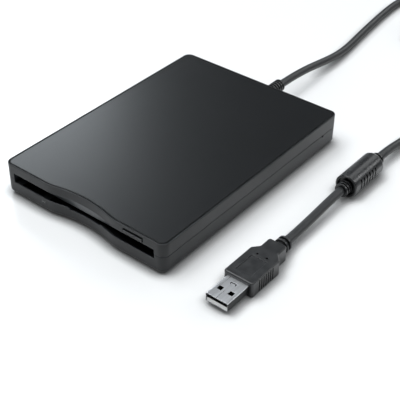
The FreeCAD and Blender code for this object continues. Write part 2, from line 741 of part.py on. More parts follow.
def gussets(low, high):
    """Short stiffening ribs along both side walls."""
    inner = HOUSING_WIDTH / 2 - WALL
    first = -RIB_PITCH * (RIB_COUNT - 1) / 2
    ribs = [box((inner - RIB, inner + INTO), (y - RIB / 2, y + RIB / 2), (low, high))
            for y in (first + i * RIB_PITCH for i in range(RIB_COUNT))]
    return both_sides(ribs[0].multiFuse(ribs[1:]))


def light_pocket():
    """The window of the activity light, through the lower front wall."""
    gap = PIN_CLEARANCE
    return box((LIGHT_X - LIGHT_WIDTH / 2 - gap, LIGHT_X + LIGHT_WIDTH / 2 + gap),
               (FRONT_Y - PAST, FRONT_Y + WALL + PAST),
               (LIGHT_Z - LIGHT_HEIGHT / 2 - gap, LIGHT_Z + LIGHT_HEIGHT / 2 + gap))


def lip_relief():
    """The step behind the mouth's lower edge that leaves it only a thin lip."""
    y, top = (FRONT_Y, MOUTH_BACK), MOUTH_BOTTOM + PAST
    mouth = box((DOOR_LEFT, MOUTH_HALF), y, (MOUTH_BOTTOM - LIP_DROP, top))
    notch = box((-FINGER_NOTCH_WIDTH / 2, FINGER_NOTCH_WIDTH / 2), y,
                (NOTCH_BOTTOM - LIP_DROP, top))
    return prism(LIP, NOTCH_BOTTOM - LIP_DROP, top).common(mouth.fuse(notch))


def guide_floor():
    """The shelf at the mouth's left end, beside the dust door."""
    return box((-MOUTH_HALF - CHEEK, DOOR_LEFT), (FRONT_Y + LIP, FRONT_Y + CHEEK_REACH),
               (MOUTH_BOTTOM - LIP_DROP, MOUTH_BOTTOM))


def light_hood():
    """The roof over the clear bar that keeps its light out of the mouth."""
    half = LIGHT_WIDTH / 2 + HOOD
    low = LIGHT_Z + LIGHT_HEIGHT / 2 + PIN_CLEARANCE
    return box((LIGHT_X - half, LIGHT_X + half), (FRONT_Y + LIP, FRONT_Y + HOOD_REACH),
               (low, low + HOOD))


def relief_pocket():
    """The hole in the back wall, half in each shell, for the strain relief's neck."""
    return rod((CORD_X, BACK_Y - WALL - PAST, CORD_Z), RELIEF_RADIUS - RELIEF_PINCH,
               WALL + 2 * PAST, Y_AXIS)


def lower_shell():
    """The tray-shaped lower half with its bosses, seats, ribs and lip."""
    root = FLOOR_Z - INTO
    body = prism(0, BOTTOM_Z, PARTING_Z - SEAM_GROOVE)
    body = body.makeFillet(BOTTOM_EDGE_RADIUS, edges_at(body, BOTTOM_Z))
    body = body.fuse(prism(SEAM_GROOVE, PARTING_Z - SEAM_GROOVE, PARTING_Z))
    tongue = prism(WALL - TONGUE_WIDTH, PARTING_Z - INTO, PARTING_Z + TONGUE_HEIGHT)
    body = body.fuse(tongue).cut(prism(WALL, FLOOR_Z, PARTING_Z + TONGUE_HEIGHT))
    seats = [rod((x, y, root), SEAT_RADIUS, SEAT_HEIGHT + INTO) for x, y in SEAT_STATIONS]
    posts = [rod((x, BACK_BOSS_Y, root), BOSS_RADIUS, PARTING_Z - root)
             for x in (-BACK_BOSS_X, BACK_BOSS_X)]
    body = body.multiFuse(seats + posts + [cheeks(root, PARTING_Z),
                                           gussets(root, PARTING_Z - RIB_BELOW_SEAM),
                                           guide_floor(), light_hood()])
    notch = box((-FINGER_NOTCH_WIDTH / 2, FINGER_NOTCH_WIDTH / 2),
                (FRONT_Y, MOUTH_BACK), (NOTCH_BOTTOM, MOUTH_BOTTOM))
    latch_y = BACK_Y - LATCH_FROM_BACK
    latch = box((HOUSING_WIDTH / 2 - LATCH_DEPTH, HOUSING_WIDTH / 2 + PAST),
                (latch_y, latch_y + LATCH_WIDTH), (PARTING_Z - LATCH_HEIGHT, PARTING_Z))
    cutters = [mouth_cutter(MOUTH_BOTTOM, PARTING_Z + TONGUE_HEIGHT), notch, latch,
               lip_relief(), light_pocket(), relief_pocket()]
    cutters += [rod((x, y, BOTTOM_Z), FOOT_RADIUS, FOOT_RECESS) for x, y in FOOT_PLACES]
    cutters += [screw_hole(x, y, PARTING_Z + PAST) for x, y in SEAT_STATIONS]
    cutters += [screw_hole(x, BACK_BOSS_Y, PARTING_Z + PAST)
                for x in (-BACK_BOSS_X, BACK_BOSS_X)]
    return body.cut(cutters[0].multiFuse(cutters[1:]))


def upper_shell():
    """The upper half: rim, panel bed, mouth lip, button hole, door lugs, bosses."""
    body = prism(SEAM_GROOVE, PARTING_Z, PARTING_Z + SEAM_GROOVE)
    crown = prism(0, PARTING_Z + SEAM_GROOVE, TOP_Z)
    body = body.fuse(crown.makeFillet(RIM_ROUND, edges_at(crown, TOP_Z)))
    body = body.cut(prism(RIM, PANEL_Z, TOP_Z + PAST))
    body = body.cut(prism(WALL, PARTING_Z, CEILING_Z))
    rebate = prism(WALL - TONGUE_WIDTH - TONGUE_CLEARANCE, PARTING_Z,
                   PARTING_Z + TONGUE_HEIGHT + TONGUE_CLEARANCE)
    rebate = rebate.cut(prism(WALL + TONGUE_CLEARANCE, PARTING_Z, CEILING_Z))
    bosses = [(-BACK_BOSS_X, BACK_BOSS_Y, PARTING_Z), (BACK_BOSS_X, BACK_BOSS_Y, PARTING_Z)]
    posts = [rod(base, BOSS_RADIUS, CEILING_Z - PARTING_Z + INTO) for base in bosses]
    lugs = door_lugs()
    body = body.multiFuse(posts + [cheeks(PARTING_Z, CEILING_Z + INTO)] + lugs)
    body = body.cut(rebate)
    door_bay = box((DOOR_LEFT - LUG - LUG_ROOM, MOUTH_HALF),
                   (FRONT_Y + DOOR_SETBACK - DOOR_CLEARANCE, FRONT_Y + CHEEK_REACH),
                   (MOUTH_TOP - PAST, CEILING_Z))
    body = body.cut(door_bay.cut(lugs[0].multiFuse(lugs[1:])))
    pin_hole = rod((DOOR_LEFT - PIN_HOLE_REACH, DOOR_AXIS_Y, DOOR_AXIS_Z),
                   DOOR_PIN_RADIUS + PIN_CLEARANCE,
                   DOOR_RIGHT - DOOR_LEFT + 2 * PIN_HOLE_REACH, X_AXIS)
    cutters = [mouth_cutter(PARTING_Z, MOUTH_TOP), button_hole(), relief_pocket(), pin_hole]
    cutters += [rod(base, SCREW_PILOT_RADIUS, SCREW_PILOT_DEPTH) for base in bosses]
    return body.cut(cutters[0].multiFuse(cutters[1:]))


def door_lugs():
    """The two ears under the roof that hold the dust door's pins."""
    y = (DOOR_AXIS_Y - LUG_HALF, DOOR_AXIS_Y + LUG_HALF)
    z = (DOOR_AXIS_Z - LUG_BELOW_PIN, CEILING_Z + INTO)
    near = DOOR_LEFT - SLIDE_GAP - LUG_GAP
    return [box((near - LUG, near), y, z), box((DOOR_RIGHT + LUG_GAP, MOUTH_HALF + INTO), y, z)]


def button_hole():
    """The button's way through the front wall and under the roof."""
    return box((BUTTON_LEFT - BUTTON_GAP_SIDE, BUTTON_LEFT + BUTTON_WIDTH + BUTTON_GAP_SIDE),
               (FRONT_Y - PAST, BUTTON_BACK + BUTTON_BACK_ROOM),
               (BUTTON_Z - BUTTON_GAP_BELOW, BUTTON_TOP + BUTTON_GAP_TOP))


def top_panel():
    """The thin cover plate that lies inside the upper shell's rim."""
    body = prism(RIM + PANEL_GAP, PANEL_Z, TOP_Z)
    return body.makeFillet(PANEL_EDGE_ROUND, edges_at(body, TOP_Z))


def rubber_feet():
    """Four round pads pressed into the recesses underneath."""
    radius, height = FOOT_RADIUS - FOOT_FIT, FOOT_PROUD + FOOT_RECESS
    profile = [(0, 0), (radius - FOOT_BEVEL, 0), (radius, FOOT_BEVEL), (radius, height),
               (0, height)]
    return Part.makeCompound([turned(profile, (x, y, 0)) for x, y in FOOT_PLACES])


def screw_hole(x, y, top):
    """A counterbored hole from the underside."""
    low = BOTTOM_Z - PAST
    head = rod((x, y, low), SCREW_HEAD_RADIUS + SCREW_HEAD_ROOM,
               PAST + SCREW_HEAD_SINK + SCREW_HEAD_HEIGHT)
    return head.fuse(rod((x, y, low), SCREW_SHANK_RADIUS + SCREW_SHANK_ROOM, top - low))


def screw(x, y, top):
    """A pan head screw with a cross recess, driven up from the underside."""
    low = BOTTOM_Z + SCREW_HEAD_SINK
    seat = low + SCREW_HEAD_HEIGHT
    profile = [
        (0, low), (SCREW_HEAD_RADIUS - SCREW_HEAD_BEVEL, low),
        (SCREW_HEAD_RADIUS, low + SCREW_HEAD_BEVEL), (SCREW_HEAD_RADIUS, seat),
        (SCREW_SHANK_RADIUS, seat), (SCREW_SHANK_RADIUS, top - SCREW_POINT),
        (SCREW_SHANK_RADIUS - SCREW_POINT, top), (0, top),
    ]
    body = turned(profile, (x, y, 0))
    cross = box((x - SCREW_CROSS_REACH, x + SCREW_CROSS_REACH),
                (y - SCREW_CROSS_HALF, y + SCREW_CROSS_HALF),
                (low - PAST, low + SCREW_CROSS_DEPTH))
    return body.cut(cross.fuse(cross.rotated(V(x, y, 0), Z_AXIS, 90)))


def chassis_screws():
    """Four screws that hold the chassis down on the lower shell's seats."""
    return Part.makeCompound([screw(x, y, BASE_TOP + CHASSIS_SCREW_OUT)
                              for x, y in SEAT_STATIONS])


def case_screws():
    """Two long screws that draw the shells together at the back corners."""
    return Part.makeCompound([screw(x, BACK_BOSS_Y, PARTING_Z + CASE_SCREW_GRIP)
                              for x in (-BACK_BOSS_X, BACK_BOSS_X)])


# ---- dust door and eject button -------------------------------------------
def dust_door():
    """The hanging flap behind the mouth, with a round top edge and end pins."""
    half = DOOR_THICKNESS / 2
    flap = box((DOOR_LEFT, DOOR_RIGHT), (DOOR_AXIS_Y - half, DOOR_AXIS_Y + half),
               (DOOR_BOTTOM, DOOR_AXIS_Z))
    low_edges = [e for e in edges_at(flap, DOOR_BOTTOM) if e.Length > DISK_WIDTH / 2]
    flap = flap.makeFillet(DOOR_EDGE_ROUND, low_edges)
    barrel = rod((DOOR_LEFT, DOOR_AXIS_Y, DOOR_AXIS_Z), half, DOOR_RIGHT - DOOR_LEFT, X_AXIS)
    pins = rod((DOOR_LEFT - DOOR_PIN_LENGTH, DOOR_AXIS_Y, DOOR_AXIS_Z), DOOR_PIN_RADIUS,
               DOOR_RIGHT - DOOR_LEFT + 2 * DOOR_PIN_LENGTH, X_AXIS)
    return flap.multiFuse([barrel, pins])


def eject_button():
    """The ribbed key, hollow on top behind its face, slotted for the slider's stem."""
    right, front = BUTTON_LEFT + BUTTON_WIDTH, FRONT_Y - BUTTON_PROUD
    body = box((BUTTON_LEFT, right), (front, BUTTON_BACK), (BUTTON_Z, BUTTON_TOP))
    rounded = [e for e in body.Edges if all(abs(v.Y - front) < SAME for v in e.Vertexes)]
    body = body.makeFillet(BUTTON_EDGE_ROUND, rounded)
    first = BUTTON_LEFT + BUTTON_RIB_MARGIN
    pitch = (BUTTON_WIDTH - 2 * BUTTON_RIB_MARGIN) / (BUTTON_RIBS - 1)
    grooves = [box((x - BUTTON_RIB_GROOVE / 2, x + BUTTON_RIB_GROOVE / 2),
                   (front - PAST, front + BUTTON_RIB_DEPTH),
                   (BUTTON_Z + BUTTON_RIB_END, BUTTON_TOP - BUTTON_RIB_END))
               for x in (first + i * pitch for i in range(BUTTON_RIBS))]
    hollow = box((BUTTON_LEFT + BUTTON_WALL, right - BUTTON_WALL),
                 (front + BUTTON_WALL, BUTTON_BACK - STEM_GRIP - BUTTON_WALL),
                 (BUTTON_Z + BUTTON_WALL, BUTTON_TOP + PAST))
    pocket = box(stem_span(), (BUTTON_BACK - STEM_GRIP, BUTTON_BACK + PAST),
                 (SLIDER_Z, SLIDER_TOP))
    return body.cut(hollow.multiFuse(grooves + [pocket]))


def stem_span():
    """Where the slider's stem lies across, behind the button's middle."""
    middle = BUTTON_LEFT + BUTTON_WIDTH / 2
    return (middle - STEM_WIDTH / 2, middle + STEM_WIDTH / 2)


def activity_light():
    """The clear bar that carries the light to the lower front wall."""
    x = (LIGHT_X - LIGHT_WIDTH / 2, LIGHT_X + LIGHT_WIDTH / 2)
    z = (LIGHT_Z - LIGHT_HEIGHT / 2, LIGHT_Z + LIGHT_HEIGHT / 2)
    return box(x, (FRONT_Y - LIGHT_PROUD, CHASSIS_FRONT - LIGHT_BAR_END_GAP), z)


# ---- chassis and loading mechanism ----------------------------------------
def flange_slot(y):
    """The upright guide slot of one tray peg."""
    x = FLANGE_X - CHASSIS_SHEET - PAST
    return slot((x, y, PEG_Z), (x, y, PEG_Z - LOAD_DROP), PEG_RADIUS + CAM_CLEARANCE,
                V(CHASSIS_SHEET + 2 * PAST, 0, 0))


def chassis_side():
    """One folded side wall with its windows, cover tabs and spring anchor."""
    inner, (front, back) = FLANGE_X - CHASSIS_SHEET, PEG_STATIONS
    x, through = (inner, FLANGE_X), (inner - PAST, FLANGE_X + PAST)
    sill = BASE_Z + FLANGE_WINDOW_SILL
    start = CHASSIS_FRONT + FLANGE_FRONT_INSET
    wall = box(x, (start, CHASSIS_BACK - FLANGE_BACK_INSET), (BASE_Z, FLANGE_TOP))
    windows = [(front + WINDOW_AFTER_PEG, back - WINDOW_BEFORE_PEG),
               (back + BACK_WINDOW_AFTER_PEG, CHASSIS_BACK)]
    for y in windows:
        wall = wall.cut(box(through, y, (sill, FLANGE_TOP)))
    tabs = [box(x, (y, y + COVER_TAB), (FLANGE_TOP - INTO, COVER_Z))
            for y in (start, back + COVER_TAB_AFTER_PEG)]
    anchor = box((inner - SPRING_ANCHOR, inner + INTO),
                 (SPRING_START - SPRING_ANCHOR_SHEET, SPRING_START),
                 (BASE_TOP - INTO, FLANGE_TOP - SPRING_ANCHOR_SHEET))
    return wall.multiFuse(tabs + [anchor])


def chassis():
    """The folded sheet tray that carries everything inside."""
    deck = box((-FLANGE_X, FLANGE_X), (CHASSIS_FRONT, CHASSIS_BACK), (BASE_Z, BASE_TOP))
    tail = box(CHASSIS_TAIL_SPAN, (CHASSIS_BACK - INTO, CHASSIS_BACK + CHASSIS_TAIL),
               (BASE_Z, BASE_TOP))
    rail_ears = [box((RAIL_X - EAR_HALF, RAIL_X + EAR_HALF), y,
                     (BASE_TOP - INTO, RAIL_Z + RAIL_EAR_RISE)) for y in rail_ear_spans()]
    screw_ear = box((SCREW_X - EAR_HALF, SCREW_X + EAR_HALF), screw_ear_span(),
                    (BASE_TOP - INTO, SCREW_Z + SCREW_EAR_RISE))
    body = deck.multiFuse([tail, both_sides(chassis_side()), screw_ear] + rail_ears)
    below, through = BASE_Z - PAST, CHASSIS_SHEET + 2 * PAST
    near, far = rail_ear_spans()
    bearing = screw_ear_span()
    cutters = [both_sides(flange_slot(y)) for y in PEG_STATIONS]
    cutters += [rod((x, y, below), SCREW_SHANK_RADIUS, through) for x, y in SEAT_STATIONS]
    cutters += [rod((RAIL_X, near[0] - PAST, RAIL_Z), RAIL_RADIUS + RAIL_FIT,
                    far[1] - near[0] + 2 * PAST, Y_AXIS)]
    cutters += [rod((SCREW_X, bearing[0] - PAST, SCREW_Z), SCREW_TIP_RADIUS + PIN_CLEARANCE,
                    CHASSIS_SHEET + 2 * PAST, Y_AXIS)]
    cutters += [rod((0, HUB_Y, below), SHAFT_RADIUS + PIN_CLEARANCE, through)]
    start = CHASSIS_FRONT + DECK_WINDOW_START
    cutters += [box((x - DECK_WINDOW_HALF, x + DECK_WINDOW_HALF),
                    (start, start + DECK_WINDOW_LENGTH), (below, below + through))
                for x in (-DECK_WINDOW_X, DECK_WINDOW_X)]
    return body.cut(cutters[0].multiFuse(cutters[1:]))


def rail_ear_spans():
    """Where the two ears that hold the guide rail stand."""
    near = CARRIAGE_Y - HEAD_TRAVEL - EAR_BEFORE_CARRIAGE
    far = STEPPER_Y + RAIL_EAR_BEHIND_MOTOR_FACE
    return [(near, near + RAIL_EAR_SHEET), (far, far + RAIL_EAR_SHEET)]


def screw_ear_span():
    """Where the front bearing of the lead screw stands."""
    near = CARRIAGE_Y - HEAD_TRAVEL - EAR_BEFORE_CARRIAGE
    return (near, near + CHASSIS_SHEET)


def drive_cover():
    """The thin top sheet of the mechanism, with a window over the hub."""
    sheet = box((-FLANGE_X, FLANGE_X),
                (CHASSIS_FRONT + COVER_FRONT_INSET, CHASSIS_BACK - COVER_BACK_INSET),
                (COVER_Z, COVER_Z + COVER_SHEET))
    z = (COVER_Z - PAST, COVER_Z + COVER_SHEET + PAST)
    window = rod((0, HUB_Y, z[0]), COVER_WINDOW_RADIUS, z[1] - z[0])
    head_window = box((-HEAD_WINDOW_HALF, HEAD_WINDOW_HALF),
                      (HEAD_Y - HEAD_WINDOW_BEFORE, HEAD_Y + HEAD_WINDOW_AFTER), z)
    return sheet.cut(window.fuse(head_window))


def lever_place(angle):
    """The shutter post's plan position at a swing angle from rest."""
    turn = math.radians(LEVER_REST_ANGLE + angle)
    return (LEVER_PIVOT_X + LEVER_RADIUS * math.cos(turn),
            PIVOT_Y + LEVER_RADIUS * math.sin(turn))


def lever_track():
    """The curved slot in the disk tray that the shutter post sweeps."""
    half = LEVER_POST_RADIUS + LEVER_POST_ROOM
    low, height = TRAY_ROOF_Z - PAST, TRAY_SHEET + 2 * PAST
    inner = Part.makeCylinder(LEVER_RADIUS - half, height, V(0, 0, low), Z_AXIS, LEVER_SWING)
    outer = Part.makeCylinder(LEVER_RADIUS + half, height, V(0, 0, low), Z_AXIS, LEVER_SWING)
    band = outer.cut(inner)
    band.rotate(V(0, 0, 0), Z_AXIS, LEVER_REST_ANGLE)
    band.translate(V(LEVER_PIVOT_X, PIVOT_Y, 0))
    ends = [rod((*lever_place(a), low), half, height) for a in (0, LEVER_SWING)]
    return band.multiFuse(ends)


def tray_side():
    """One folded side of the disk tray: wall, ledge under the disk and two pegs."""
    ledge_top = DISK_Z - TRAY_BELOW_DISK
    y = (TRAY_FRONT, TRAY_BACK)
    side = box((TRAY_X, TRAY_X + TRAY_SHEET), y, (ledge_top - TRAY_SHEET, TRAY_TOP))
    ledge = box((TRAY_X - TRAY_LEDGE, TRAY_X + INTO), y, (ledge_top - TRAY_SHEET, ledge_top))
    peg_end = FLANGE_X - CHASSIS_SHEET + PEG_REACH
    pegs = [rod((TRAY_X + INTO, station, PEG_Z), PEG_RADIUS, peg_end - TRAY_X - INTO, X_AXIS)
            for station in PEG_STATIONS]
    return side.multiFuse([ledge] + pegs)


def disk_tray():
    """The sheet holder that the disk slides into, with four side pegs."""
    z = (TRAY_ROOF_Z, TRAY_TOP)
    through = (TRAY_ROOF_Z - PAST, TRAY_TOP + PAST)
    roof = box((-TRAY_X - TRAY_SHEET, TRAY_X + TRAY_SHEET), (TRAY_FRONT, TRAY_BACK), z)
    lever_deck = box((LEVER_PIVOT_X - TRAY_TAIL_BEYOND_PIVOT, TRAY_TAIL_RIGHT),
                     (TRAY_BACK - INTO, TRAY_BACK + TRAY_TAIL), z)
    body = roof.multiFuse([lever_deck, both_sides(tray_side())])
    start = TRAY_FRONT + TRAY_WINDOW_INSET
    cutters = [
        box((-TRAY_HEAD_SLOT_HALF, TRAY_HEAD_SLOT_HALF),
            (HEAD_Y - TRAY_HEAD_SLOT_BEFORE, TRAY_BACK + PAST), through),
        rod((0, HUB_Y, through[0]), TRAY_WINDOW_RADIUS, through[1] - through[0]),
        box((-TRAY_WINDOW_HALF, TRAY_WINDOW_HALF), (start, start + TRAY_WINDOW_LENGTH), through),
        lever_track(),
    ]
    return body.cut(cutters[0].multiFuse(cutters[1:]))


def cam_slot(y):
    """The sloping slot that lowers a peg as the slider runs forward."""
    x = ARM_X - SLIDER_ARM_SHEET - PAST
    return slot((x, y, PEG_Z), (x, y + EJECT_TRAVEL, PEG_Z - LOAD_DROP),
                PEG_RADIUS + CAM_CLEARANCE, V(SLIDER_ARM_SHEET + 2 * PAST, 0, 0))


def slider_side():
    """One edge of the slider: strip, spring hook, two cam legs and two ears."""
    z = (SLIDER_Z, SLIDER_TOP)
    x = (ARM_X - SLIDER_STRIP, ARM_X)
    strip = box(x, (SLIDER_BACK - INTO, SLIDER_TAIL), z)
    hook = box(x, (SLIDER_TAIL - SPRING_ANCHOR_SHEET, SLIDER_TAIL),
               (BASE_TOP + SLIDER_HOOK_Z, SLIDER_TOP))
    legs = [box((ARM_X - SLIDER_ARM_SHEET, ARM_X),
                (y + CAM_LEG_AHEAD - CAM_LEG_HALF, y + CAM_LEG_AHEAD + CAM_LEG_HALF),
                (PEG_Z - LOAD_DROP - CAM_LEG_BELOW, SLIDER_TOP)) for y in PEG_STATIONS]
    ears = [box((ARM_X - SLIDER_ARM_SHEET, FLANGE_X), (y - ahead, y - ahead + EAR_LENGTH), z)
            for y, ahead in zip(PEG_STATIONS, EAR_BEFORE_PEGS)]
    side = strip.multiFuse([hook] + legs + ears)
    return side.cut(cam_slot(PEG_STATIONS[0]).fuse(cam_slot(PEG_STATIONS[1])))


def eject_slider():
    """The top plate with cam legs, riding ears, spring hooks and button stem."""
    z, through = (SLIDER_Z, SLIDER_TOP), (SLIDER_Z - PAST, SLIDER_TOP + PAST)
    top = box((-ARM_X, ARM_X), (SLIDER_FRONT, SLIDER_BACK), z)
    stem = box(stem_span(), (BUTTON_BACK - STEM_GRIP, SLIDER_FRONT + INTO), z)
    body = top.multiFuse([both_sides(slider_side()), stem])
    start, back = SLIDER_FRONT + SLIDER_WINDOW_INSET, SLIDER_BACK + PAST
    cutters = [
        box((-SLIDER_HEAD_SLOT_HALF, SLIDER_HEAD_SLOT_HALF),
            (HEAD_Y - SLIDER_HEAD_SLOT_BEFORE, back), through),
        rod((0, HUB_Y, through[0]), SLIDER_WINDOW_RADIUS, through[1] - through[0]),
        box(SLIDER_WINDOW_SPAN, (start, start + SLIDER_WINDOW_LENGTH), through),
        box((SLIDER_LEVER_BAY_LEFT, LEVER_PIVOT_X + SLIDER_LEVER_BAY_BEYOND_PIVOT),
            (lever_place(0)[1] - SLIDER_LEVER_BAY_BEFORE, back), through),
    ]
    return body.cut(cutters[0].multiFuse(cutters[1:]))


def slider_springs():
    """Two tension springs that draw the slider forward."""
    length = SLIDER_TAIL - SPRING_ANCHOR_SHEET - SPRING_START
    pitch = length / SPRING_COILS
    outer, core = SPRING_RADIUS, SPRING_RADIUS - SPRING_WIRE
    profile = [(0, 0)]
    for i in range(SPRING_COILS):
        profile += [(core, i * pitch), (outer, (i + SPRING_CREST[0]) * pitch),
                    (outer, (i + SPRING_CREST[1]) * pitch)]
    profile += [(core, length), (0, length)]
    x, z = ARM_X - SPRING_INSET, BASE_TOP + SPRING_Z
    return Part.makeCompound([turned(profile, (side, SPRING_START, z), Y_AXIS)
                              for side in (-x, x)])


def lever_pivot():
    """The headed stud on the tray that the shutter lever turns on."""
    neck = TRAY_TOP + PIVOT_HEIGHT
    head = neck + PIVOT_HEAD_HEIGHT
    profile = [(0, TRAY_TOP), (PIVOT_RADIUS, TRAY_TOP), (PIVOT_RADIUS, neck),
               (PIVOT_HEAD_RADIUS, neck), (PIVOT_HEAD_RADIUS, head), (0, head)]
    return turned(profile, (LEVER_PIVOT_X, PIVOT_Y, 0))


def shutter_lever():
    """The swinging bar whose post opens the disk's shutter."""
    low = TRAY_TOP + LEVER_LIFT
    pivot, post = (LEVER_PIVOT_X, PIVOT_Y, low), (*lever_place(0), low)
    bar = slot(pivot, post, LEVER_HALF_WIDTH, V(0, 0, LEVER_SHEET))
    eye = rod(pivot, LEVER_EYE_RADIUS, LEVER_SHEET)
    pin_low = TRAY_ROOF_Z - LEVER_POST_DROP
    pin = rod((post[0], post[1], pin_low), LEVER_POST_RADIUS, low + INTO - pin_low)
    bore = rod((LEVER_PIVOT_X, PIVOT_Y, low - PAST), PIVOT_RADIUS + PIN_CLEARANCE,
               LEVER_SHEET + 2 * PAST)
    return bar.multiFuse([eye, pin]).cut(bore)


# ---- spindle -------------------------------------------------------------
def motor_board():
    """The circuit board under the spindle, with a tongue out to the light."""
    z = (BASE_TOP, BASE_TOP + BOARD_THICKNESS)
    front = HUB_Y - MOTOR_BOARD_BEFORE_HUB
    main = box((-MOTOR_BOARD_HALF, MOTOR_BOARD_HALF), (front, HUB_Y + MOTOR_BOARD_AFTER_HUB), z)
    tongue = box((LIGHT_X - BOARD_TONGUE_HALF, LIGHT_X + BOARD_TONGUE_HALF),
                 (CHASSIS_FRONT + BOARD_TONGUE_INSET, front + INTO), z)
    bore = rod((0, HUB_Y, BASE_TOP - PAST), BUSH_RADIUS + BUSH_FIT, BOARD_THICKNESS + 2 * PAST)
    return main.fuse(tongue).cut(bore)


def light_source():
    """The small lamp on the board's tongue, facing the clear bar."""
    front = CHASSIS_FRONT + LIGHT_SOURCE_START
    x = (LIGHT_X - LIGHT_SOURCE_HALF, LIGHT_X + LIGHT_SOURCE_HALF)
    body = box(x, (front, CHASSIS_FRONT + LIGHT_SOURCE_END),
               (BASE_TOP + BOARD_THICKNESS, LIGHT_Z + LIGHT_SOURCE_RISE))
    return body.cut(box(x, (front, front + LIGHT_SOURCE_LIP),
                        (LIGHT_Z + LIGHT_SOURCE_SHADE, LIGHT_Z + LIGHT_SOURCE_RISE)))


def spindle_bush():
    """The flanged bearing that the spindle turns in."""
    bore, neck = SHAFT_RADIUS + PIN_CLEARANCE, BUSH_RADIUS - BUSH_STEP
    step, top = BASE_TOP + BOARD_THICKNESS, BASE_TOP + BUSH_HEIGHT
    return turned([(bore, BASE_TOP), (BUSH_RADIUS, BASE_TOP), (BUSH_RADIUS, step),
                   (neck, step), (neck, top), (bore, top)], (0, HUB_Y, 0))


def stator():
    """The toothed iron core with a winding on each tooth."""
    low = BASE_TOP + BOARD_THICKNESS
    iron = (low + STATOR_LIFT, low + STATOR_LIFT + STATOR_IRON)
    ring = tube((0, HUB_Y, iron[0]), STATOR_RING_RADIUS, BUSH_RADIUS - STATOR_RING_INTO_BUSH,
                STATOR_IRON)
    pieces = [tube((0, HUB_Y, low), STATOR_COLLAR_RADIUS, BUSH_RADIUS + BUSH_FIT,
                   STATOR_COLLAR_HEIGHT)]
    for i in range(STATOR_POLES):
        tooth = box((TOOTH_START, STATOR_RADIUS - TOOTH_INSET), (-TOOTH_HALF, TOOTH_HALF), iron)
        shoe = box((STATOR_RADIUS - SHOE_DEPTH, STATOR_RADIUS), (-SHOE_HALF, SHOE_HALF), iron)
        winding = box((WINDING_START, STATOR_RADIUS - WINDING_INSET),
                      (-WINDING_HALF, WINDING_HALF), (low, low + WINDING_HEIGHT))
        arm = tooth.multiFuse([shoe, winding])
        arm.rotate(V(0, 0, 0), Z_AXIS, i * 360 / STATOR_POLES)
        arm.translate(V(0, HUB_Y, 0))
        pieces.append(arm)
    return ring.multiFuse(pieces)


def spindle_rotor():
    """The turning cup with shaft, hub seat and drive pin."""
    foot, under = BASE_TOP + ROTOR_FLOAT, ROTOR_TOP - ROTOR_SHEET
    skirt, inner = ROTOR_TOP - ROTOR_SKIRT, ROTOR_RADIUS - ROTOR_SKIRT_SHEET
    seat, tip = ROTOR_TOP + HUB_SEAT_HEIGHT, DISK_Z - SPINDLE_TIP_BELOW_DISK
    profile = [
        (0, foot), (SHAFT_RADIUS, foot), (SHAFT_RADIUS, under), (inner, under),
        (inner, skirt), (ROTOR_RADIUS, skirt), (ROTOR_RADIUS, ROTOR_TOP),
        (HUB_SEAT_RADIUS, ROTOR_TOP), (HUB_SEAT_RADIUS, seat), (SHAFT_RADIUS, seat),
        (SHAFT_RADIUS, tip - SPINDLE_TIP_BEVEL), (SHAFT_RADIUS - SPINDLE_TIP_BEVEL, tip),
        (0, tip),
    ]
    pin = rod((DRIVE_PIN_OFFSET, HUB_Y, seat - INTO), DRIVE_PIN_RADIUS,
              DRIVE_PIN_HEIGHT + INTO)
    return turned(profile, (0, HUB_Y, 0)).fuse(pin)


def rotor_magnet():
    """The ring magnet inside the rotor's skirt."""
    return tube((0, HUB_Y, ROTOR_TOP - ROTOR_SHEET - MAGNET_HEIGHT),
                ROTOR_RADIUS - ROTOR_SKIRT_SHEET, STATOR_RADIUS + MAGNET_GAP, MAGNET_HEIGHT)


# ---- head positioner -----------------------------------------------------
def guide_rail():
    """The polished rod that the carriage runs on."""
    near, far = rail_ear_spans()
    return rod((RAIL_X, near[0] - RAIL_OUT, RAIL_Z), RAIL_RADIUS,
               far[1] - near[0] + 2 * RAIL_OUT, Y_AXIS)


def stepper_motor():
    """The positioning motor, a round can with a square mounting flange."""
    can = rod((SCREW_X, STEPPER_Y, SCREW_Z), STEPPER_RADIUS, STEPPER_LENGTH, Y_AXIS)
    face = box((SCREW_X - STEPPER_RADIUS, SCREW_X + STEPPER_RADIUS),
               (STEPPER_Y, STEPPER_Y + STEPPER_FLANGE),
               (BASE_TOP, SCREW_Z + STEPPER_FLANGE_RISE))
    return can.fuse(face).cut(rod((SCREW_X, STEPPER_Y - PAST, SCREW_Z), STEPPER_BORE_RADIUS,
                                  STEPPER_BORE_DEPTH + PAST, Y_AXIS))


def lead_screw():
    """The grooved screw between its front bearing and the motor."""
    near = screw_ear_span()
    start, end = near[1] + SCREW_FRONT_PLAY, STEPPER_Y - SCREW_BACK_PLAY
    pitch = (end - start - 2 * SCREW_PLAIN_END) / SCREW_GROOVES
    root = SCREW_RADIUS - SCREW_GROOVE_DEPTH
    profile = [(0, 0), (SCREW_RADIUS, 0)]
    for i in range(SCREW_GROOVES):
        y = SCREW_PLAIN_END + i * pitch
        profile += [(SCREW_RADIUS, y), (root, y + pitch / 4), (root, y + pitch / 2),
                    (SCREW_RADIUS, y + pitch * 3 / 4)]
    profile += [(SCREW_RADIUS, end - start), (0, end - start)]
    body = turned(profile, (SCREW_X, start, SCREW_Z), Y_AXIS)
    front = rod((SCREW_X, near[0] - SCREW_FRONT_PLAY, SCREW_Z), SCREW_TIP_RADIUS,
                start + INTO + SCREW_FRONT_PLAY - near[0], Y_AXIS)
    back = rod((SCREW_X, end - INTO, SCREW_Z), SCREW_STUB_RADIUS, SCREW_STUB_LENGTH, Y_AXIS)
    return body.multiFuse([front, back])


